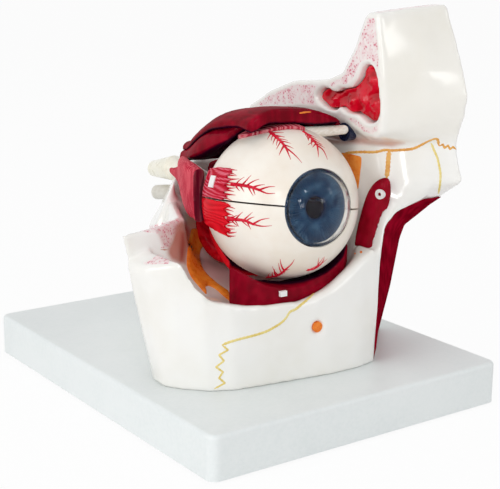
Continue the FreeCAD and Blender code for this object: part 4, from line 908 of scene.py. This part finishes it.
def build_soft_parts():
    levator = soft_part("levator", "levator_palpebrae", "superior_muscles", CRIMSON, 0.7, 16, 0.15,
                        upper_fibres, dark=underside)
    patch("levator_streak", tree_of(levator), STREAK, ORANGE, pitch=0.8, body="superior_muscles")
    soft_part("upper_rectus", "superior_rectus", "superior_muscles", CRIMSON, 0.7, 16, 0.15,
              upper_fibres, dark=underside)
    soft_part("lateral_belly", "lateral_rectus", "lateral_muscle", LATERAL, 0.5, 12, 0.22,
              lateral_fibres, dark=gap_side)
    soft_part("inner_rectus", "medial_rectus", "stand", CRIMSON, 0.8, 10, 0.2, inner_fibres)
    soft_part("lower_rectus", "inferior_rectus", "stand", SCARLET, 0.8, 8, 0.2, floor_fibres,
              dark=ball_side)
    soft_part("upper_oblique", "superior_oblique", "stand", CRIMSON, 0.7, 8, 0.15, inner_fibres)
    soft_part("lower_oblique", "inferior_oblique", "stand", CRIMSON, 0.7, 14, dark=ball_side)
    soft_part("comb_upper", "lateral_insertion_upper", "upper_half", COMB, 0.28, 2, 0.35,
              comb_fibres)
    soft_part("comb_lower", "lateral_insertion_lower", "eyeball", SCARLET, 0.28, 2, 0.3,
              comb_fibres)
    soft_part("top_insertion", "superior_rectus_insertion", "upper_half", ROSE, 0.3, 3, 0.3,
              top_fibres)
    soft_part("sac", "lacrimal_sac", "stand", DARK_MUCOSA, 0.5, 6, dark=sac_panel)
    soft_part("nasal_mucosa", "nasal_lining", "stand", LINING, 0.6, 30)
    soft_part("sinus_mucosa", "frontal_sinus_lining", "stand", MUCOSA, 0.6, 8, 1.3, lump_height,
              -0.6)


# ---- iris
IRIS_TURNS, IRIS_RINGS, IRIS_WAVES = 360, 30, 9
COLLAR_R, COLLAR_WIDTH = 8.6, 1.1
FOLD_HEIGHT, COLLAR_HEIGHT, IRIS_SINK = 0.30, 0.22, 0.35


def build_iris():
    """A disc with radial folds, a raised collar round the pupil and a rounded outer edge."""
    angles = np.arange(IRIS_TURNS) * 2 * pi / IRIS_TURNS
    chooser = np.random.default_rng(5)
    waves = [(chooser.integers(30, 110), chooser.uniform(0, 6.28), chooser.uniform(0.4, 1))
             for _ in range(IRIS_WAVES)]
    points, folds, spans = [], [], []
    for r in np.linspace(PUPIL_R, IRIS_R, IRIS_RINGS):
        for angle in angles:
            fold = sum(w * sin(k * angle + shift + 0.3 * sin(r * 1.3 + k)) for k, shift, w in waves)
            fold = 0.5 + 0.5 * tanh(fold / 2.2)
            share = (r - PUPIL_R) / (IRIS_R - PUPIL_R)
            # The folds fade out at both rims.
            fold *= min(1, 6 * share) * min(1, 8 * (1 - share))
            collar = exp(-((r - COLLAR_R) / COLLAR_WIDTH) ** 2)
            rise = FOLD_HEIGHT * fold + COLLAR_HEIGHT * collar - IRIS_SINK
            points.append((r * cos(angle), IRIS_FRONT - rise, r * sin(angle)))
            folds.append(fold)
            spans.append(r)
    for r in (IRIS_R, PUPIL_R):
        for angle in angles:
            points.append((r * cos(angle), IRIS_FRONT + IRIS_DEPTH, r * sin(angle)))
            folds.append(0.2)
            spans.append(r)
    closed = ring_quads(IRIS_RINGS + 3, IRIS_TURNS)  # the last ring of points is the first one again
    faces = [[k % len(points) for k in face] for face in closed]
    mesh = mesh_of("iris_disc", from_eye(points), faces)
    attribute(mesh, "fold", folds)
    attribute(mesh, "radius", spans)
    made = place("iris_disc", mesh, "iris", IRIS)
    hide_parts("iris")


# ---- vessels on the eyeball
# Points of the main view: a stem and the branches that it ends in; how far the barbs on either side
# reach in mm; how many barbs a side has.
VESSELS = [
    ("upper_half", [(269.6, 131.6), (276, 137), (281, 141.5), (286.4, 148.5)],
     [[(288.5, 154), (290.8, 159.7)], [(294.5, 154.7), (302, 162.8)]], (5.6, 6.2), 6),
    ("upper_half", [(303.2, 131.6), (307, 134), (310.7, 137.3), (317.5, 146)],
     [[(318, 151), (318.4, 157.2)], [(323, 150), (327.5, 159.7)]], (4.6, 5.6), 6),
    ("upper_half", [(231, 184), (242, 185.2), (251, 187), (259.7, 190.2)],
     [[(268, 187), (275.2, 186.4)], [(267, 193.3), (275.2, 193.3)]], (6.0, 4.6), 4),
    ("eyeball", [(227.3, 218.1), (235, 219.4), (244.8, 220.6), (253.5, 224.4)],
     [[(261, 219.8), (269.6, 218.1)], [(262, 226.2), (272, 225.6)]], (5.5, 4.8), 4),
    ("eyeball", [(267, 277), (279, 274.5), (287, 268)],
     [[(291.5, 264), (294.5, 259.2)]], (8.6, 2.2), 6),
    ("eyeball", [(307, 269.8), (314.4, 268.5), (320.6, 264.2)],
     [[(323, 261), (324.4, 256.7)]], (8.0, 2.2), 4),
]
# Radii in mm, at the start and at the tip of a stroke; a barb's start lies between the two of BARB.
STEM, BRANCH, BARB, TIP = (0.95, 0.6), (0.55, 0.10), (0.42, 0.66), 0.08
STEM_SAMPLES, BRANCH_SAMPLES, BARB_SAMPLES = 40, 16, 9
# Barbs stand between these samples of a stem. Their places, lengths (as shares of their reach), angles
# to the stem (degrees) and bends vary.
FIRST_BARB, BARB_RUN = 3, 34
BARB_PLACE, BARB_LENGTH, BARB_ANGLE, BARB_BEND = (-0.25, 0.25), (0.75, 1.2), (42, 60), (-0.1, 0.35)
FLATTENED = 0.6


def ball_spot(x, y):
    """Where a sight line through the main view meets the eyeball, in the eyeball's own frame (mm)."""
    way = np.array(sight(x, y))
    start = np.array(EYE_POINT) / MM - EYE_CENTRE
    along = start @ way
    inside = along ** 2 - start @ start + EYE_R ** 2
    return on_ball((start + way * (-along - sqrt(max(inside, 0)))) @ EYE_AXES)


def tube(points, radii, sides):
    """Verts and faces of a tapering tube on the eyeball, flattened and closed at both ends."""
    verts = []
    for index, point in enumerate(points):
        way = unit(points[min(index + 1, len(points) - 1)] - points[max(index - 1, 0)])
        out = unit(point)
        across = unit(np.cross(way, out))
        for k in range(sides):
            angle = 2 * pi * k / sides
            ray = across * cos(angle) + FLATTENED * out * sin(angle)
            verts.append(point + radii[index] * ray)
    first, last = range(sides), range(len(verts) - sides, len(verts))
    return verts, ring_quads(len(points), sides) + [tuple(first)[::-1], tuple(last)]


def curve3(points, count):
    """Smooth curve through 3-D points, evenly sampled."""
    flat = np.array(thread(points, 0.5))
    spans = np.concatenate([[0], np.cumsum(np.linalg.norm(np.diff(flat, axis=0), axis=1))])
    wanted = np.linspace(0, spans[-1], count)
    return np.stack([np.interp(wanted, spans, flat[:, axis]) for axis in range(3)], axis=1)


class Strokes:
    """Tapering brush strokes on the eyeball, gathered into one mesh."""

    def __init__(self):
        self.verts, self.faces = [], []

    def draw(self, track, thick, thin, sides=5):
        verts, faces = tube(on_ball(track), np.linspace(thick, thin, len(track)), sides)
        start = len(self.verts)
        self.verts.extend(verts)
        self.faces.extend([tuple(start + k for k in face) for face in faces])

    def place(self, name, body):
        place(name, mesh_of(name, from_eye(np.array(self.verts)), self.faces), body, VESSEL)


def build_vessels():
    """Feather-like vessels: a stem that thins towards the cornea, with slanting barbs on both sides."""
    for number, (body, stem, ends, reaches, barbs) in enumerate(VESSELS):
        chooser = np.random.default_rng(40 + number)
        strokes = Strokes()
        line = on_ball(curve3([ball_spot(*point) for point in stem], STEM_SAMPLES))
        strokes.draw(line, *STEM, 7)
        for end in ends:
            track = curve3([line[-2]] + [ball_spot(*point) for point in end], BRANCH_SAMPLES)
            strokes.draw(track, *BRANCH)
        for side, reach in zip((1, -1), reaches):
            for barb in range(barbs):
                at = int(FIRST_BARB + (barb + chooser.uniform(*BARB_PLACE) + 0.4) * BARB_RUN / barbs)
                way = unit(line[at + 1] - line[at - 1])
                across = np.cross(unit(line[at]), way) * side
                length = reach * chooser.uniform(*BARB_LENGTH)
                spread = radians(chooser.uniform(*BARB_ANGLE))
                bend = chooser.uniform(*BARB_BEND)
                track = []
                for share in np.linspace(0, 1, BARB_SAMPLES):
                    angle = spread * (1 - bend * share)
                    forward = cos(angle) * way + sin(angle) * across
                    track.append(line[at] + length * share * forward)
                strokes.draw(track, chooser.uniform(*BARB), TIP)
        strokes.place("vessel_" + "abcdef"[number], body)


# Fine strokes beside the lateral insertion, in mm: how far behind its front edge they begin, how far
# they reach past it, how much they sink, how far apart and how thick they are.
HAIR_ROOT, HAIR_LENGTH, HAIR_DROP, HAIR_PITCH, HAIR = 2.6, (1.6, 4.4), (-0.9, 0.9), (1.0, 1.9), (0.45, 0.7)
HAIR_LOW, HAIR_HIGH, HAIR_LEVEL, HAIR_SAMPLES = 0.8, 0.6, 1.6, 8


def build_comb_hairs():
    """Fine strokes that carry the fibres of the lateral insertion on over the white of the eye."""
    for number, (cad, body) in enumerate([("lateral_insertion_upper", "upper_half"),
                                          ("lateral_insertion_lower", "eyeball")]):
        chooser = np.random.default_rng(60 + number)
        local = in_eye(points_of(nodes[cad].data) / MM)
        strokes = Strokes()
        height = local[:, 2].min() + HAIR_LOW
        while height < local[:, 2].max() - HAIR_HIGH:
            front = local[np.abs(local[:, 2] - height) < HAIR_LEVEL][:, 1].min()
            length = chooser.uniform(*HAIR_LENGTH)
            drop = chooser.uniform(*HAIR_DROP)
            track = []
            for share in np.linspace(0, 1, HAIR_SAMPLES):
                forward = front + HAIR_ROOT - share * (HAIR_ROOT + length)
                level = height + drop * share ** 2
                side = sqrt(max(EYE_R ** 2 - forward ** 2 - level ** 2, 1))
                track.append((-side, forward, level))
            strokes.draw(np.array(track), chooser.uniform(*HAIR), TIP)
            height += chooser.uniform(*HAIR_PITCH)
        strokes.place(f"comb_hairs_{number + 1}", body)


# ---- room
LAMPS_AIM = (0.0, -0.03, 0.09)
LAMPS = {  # place and size in metres, watts
    "key": ((-0.85, -0.955, 0.62), (0.17, 0.17), 1.7),
    "fill": ((-0.75, -1.05, 0.36), (0.24, 0.24), 0.95),
    "front": ((0.33, -1.20, 0.49), (0.24, 0.24), 0.65),
    "upper": ((-0.41, -0.90, 1.05), (0.14, 0.14), 0.5),
    "right": ((0.855, -0.84, 0.74), (0.20, 0.30), 0.45),
    "left": ((-1.25, -0.1, 0.55), (0.7, 0.7), 4.5),
    "top": ((0.0, 0.1, 1.3), (0.9, 0.9), 1.8),
}
WORLD_STRENGTH, FLOOR_WHITE, FLOOR_REACH = 0.53, 0.93, 4


def build_lamps():
    for name, (spot, size, watts) in LAMPS.items():
        light = bpy.data.lights.new(name, "AREA")
        light.shape = "RECTANGLE"
        light.size, light.size_y = size
        light.energy = watts
        made = add_object(name, light)
        made.location = spot
        made.rotation_euler = (Vector(LAMPS_AIM) - Vector(spot)).to_track_quat("-Z", "Y").to_euler()


def background_rays(tree):
    """1 for rays that should meet a plain white background."""
    path = add(tree, "LightPath")
    seen_or_mirrored = calc(tree, "MAXIMUM", path.outputs["Is Camera Ray"], path.outputs["Is Glossy Ray"])
    return calc(tree, "MAXIMUM", seen_or_mirrored, path.outputs["Is Transmission Ray"])


def build_world():
    world = bpy.data.worlds.new("studio")
    bpy.context.scene.world = world
    world.use_nodes = True
    tree = world.node_tree
    shade = tree.nodes["Background"]
    shade.inputs["Color"].default_value = (0.98, 0.99, 1.0, 1)
    shade.inputs["Strength"].default_value = WORLD_STRENGTH
    white = add(tree, "Background", {"Color": (1, 1, 1, 1), "Strength": 1.0})
    mix = add(tree, "MixShader", {"Fac": background_rays(tree), 1: shade.outputs[0], 2: white.outputs[0]})
    tree.links.new(mix.outputs[0], tree.nodes["World Output"].inputs["Surface"])


def build_floor():
    """Pale paper, nearly white to the camera, that still takes soft shadows."""
    made, tree, shader = new_material("floor_white", (0.92, 0.92, 0.92), 0.9)
    paper = grain(tree, coordinates(tree), 8, 3)
    colour = ramp(tree, paper, [(0.3, (0.91, 0.91, 0.91)), (0.7, (0.94, 0.94, 0.94))])
    tree.links.new(colour, shader.inputs["Base Color"])
    glow = add(tree, "Emission", {"Color": (1, 1, 1, 1), "Strength": 1.0})
    share = calc(tree, "MULTIPLY", background_rays(tree), FLOOR_WHITE)
    mix = add(tree, "MixShader", {"Fac": share, 1: shader.outputs["BSDF"], 2: glow.outputs["Emission"]})
    tree.links.new(mix.outputs["Shader"], tree.nodes["Material Output"].inputs["Surface"])
    corners = [(-1, -1), (1, -1), (1, 1), (-1, 1)]
    mesh = mesh_of("floor", [(x * FLOOR_REACH, y * FLOOR_REACH, 0) for x, y in corners], [(0, 1, 2, 3)])
    mesh.materials.append(made)
    floor = add_object("floor", mesh)


# ---- build everything
build_camera()
dress_cad_nodes()
paint_bone(build_bone())
build_soft_parts()
build_iris()
build_vessels()
build_comb_hairs()
build_lamps()
build_world()
build_floor()
bpy.context.scene.view_settings.view_transform = "Standard"
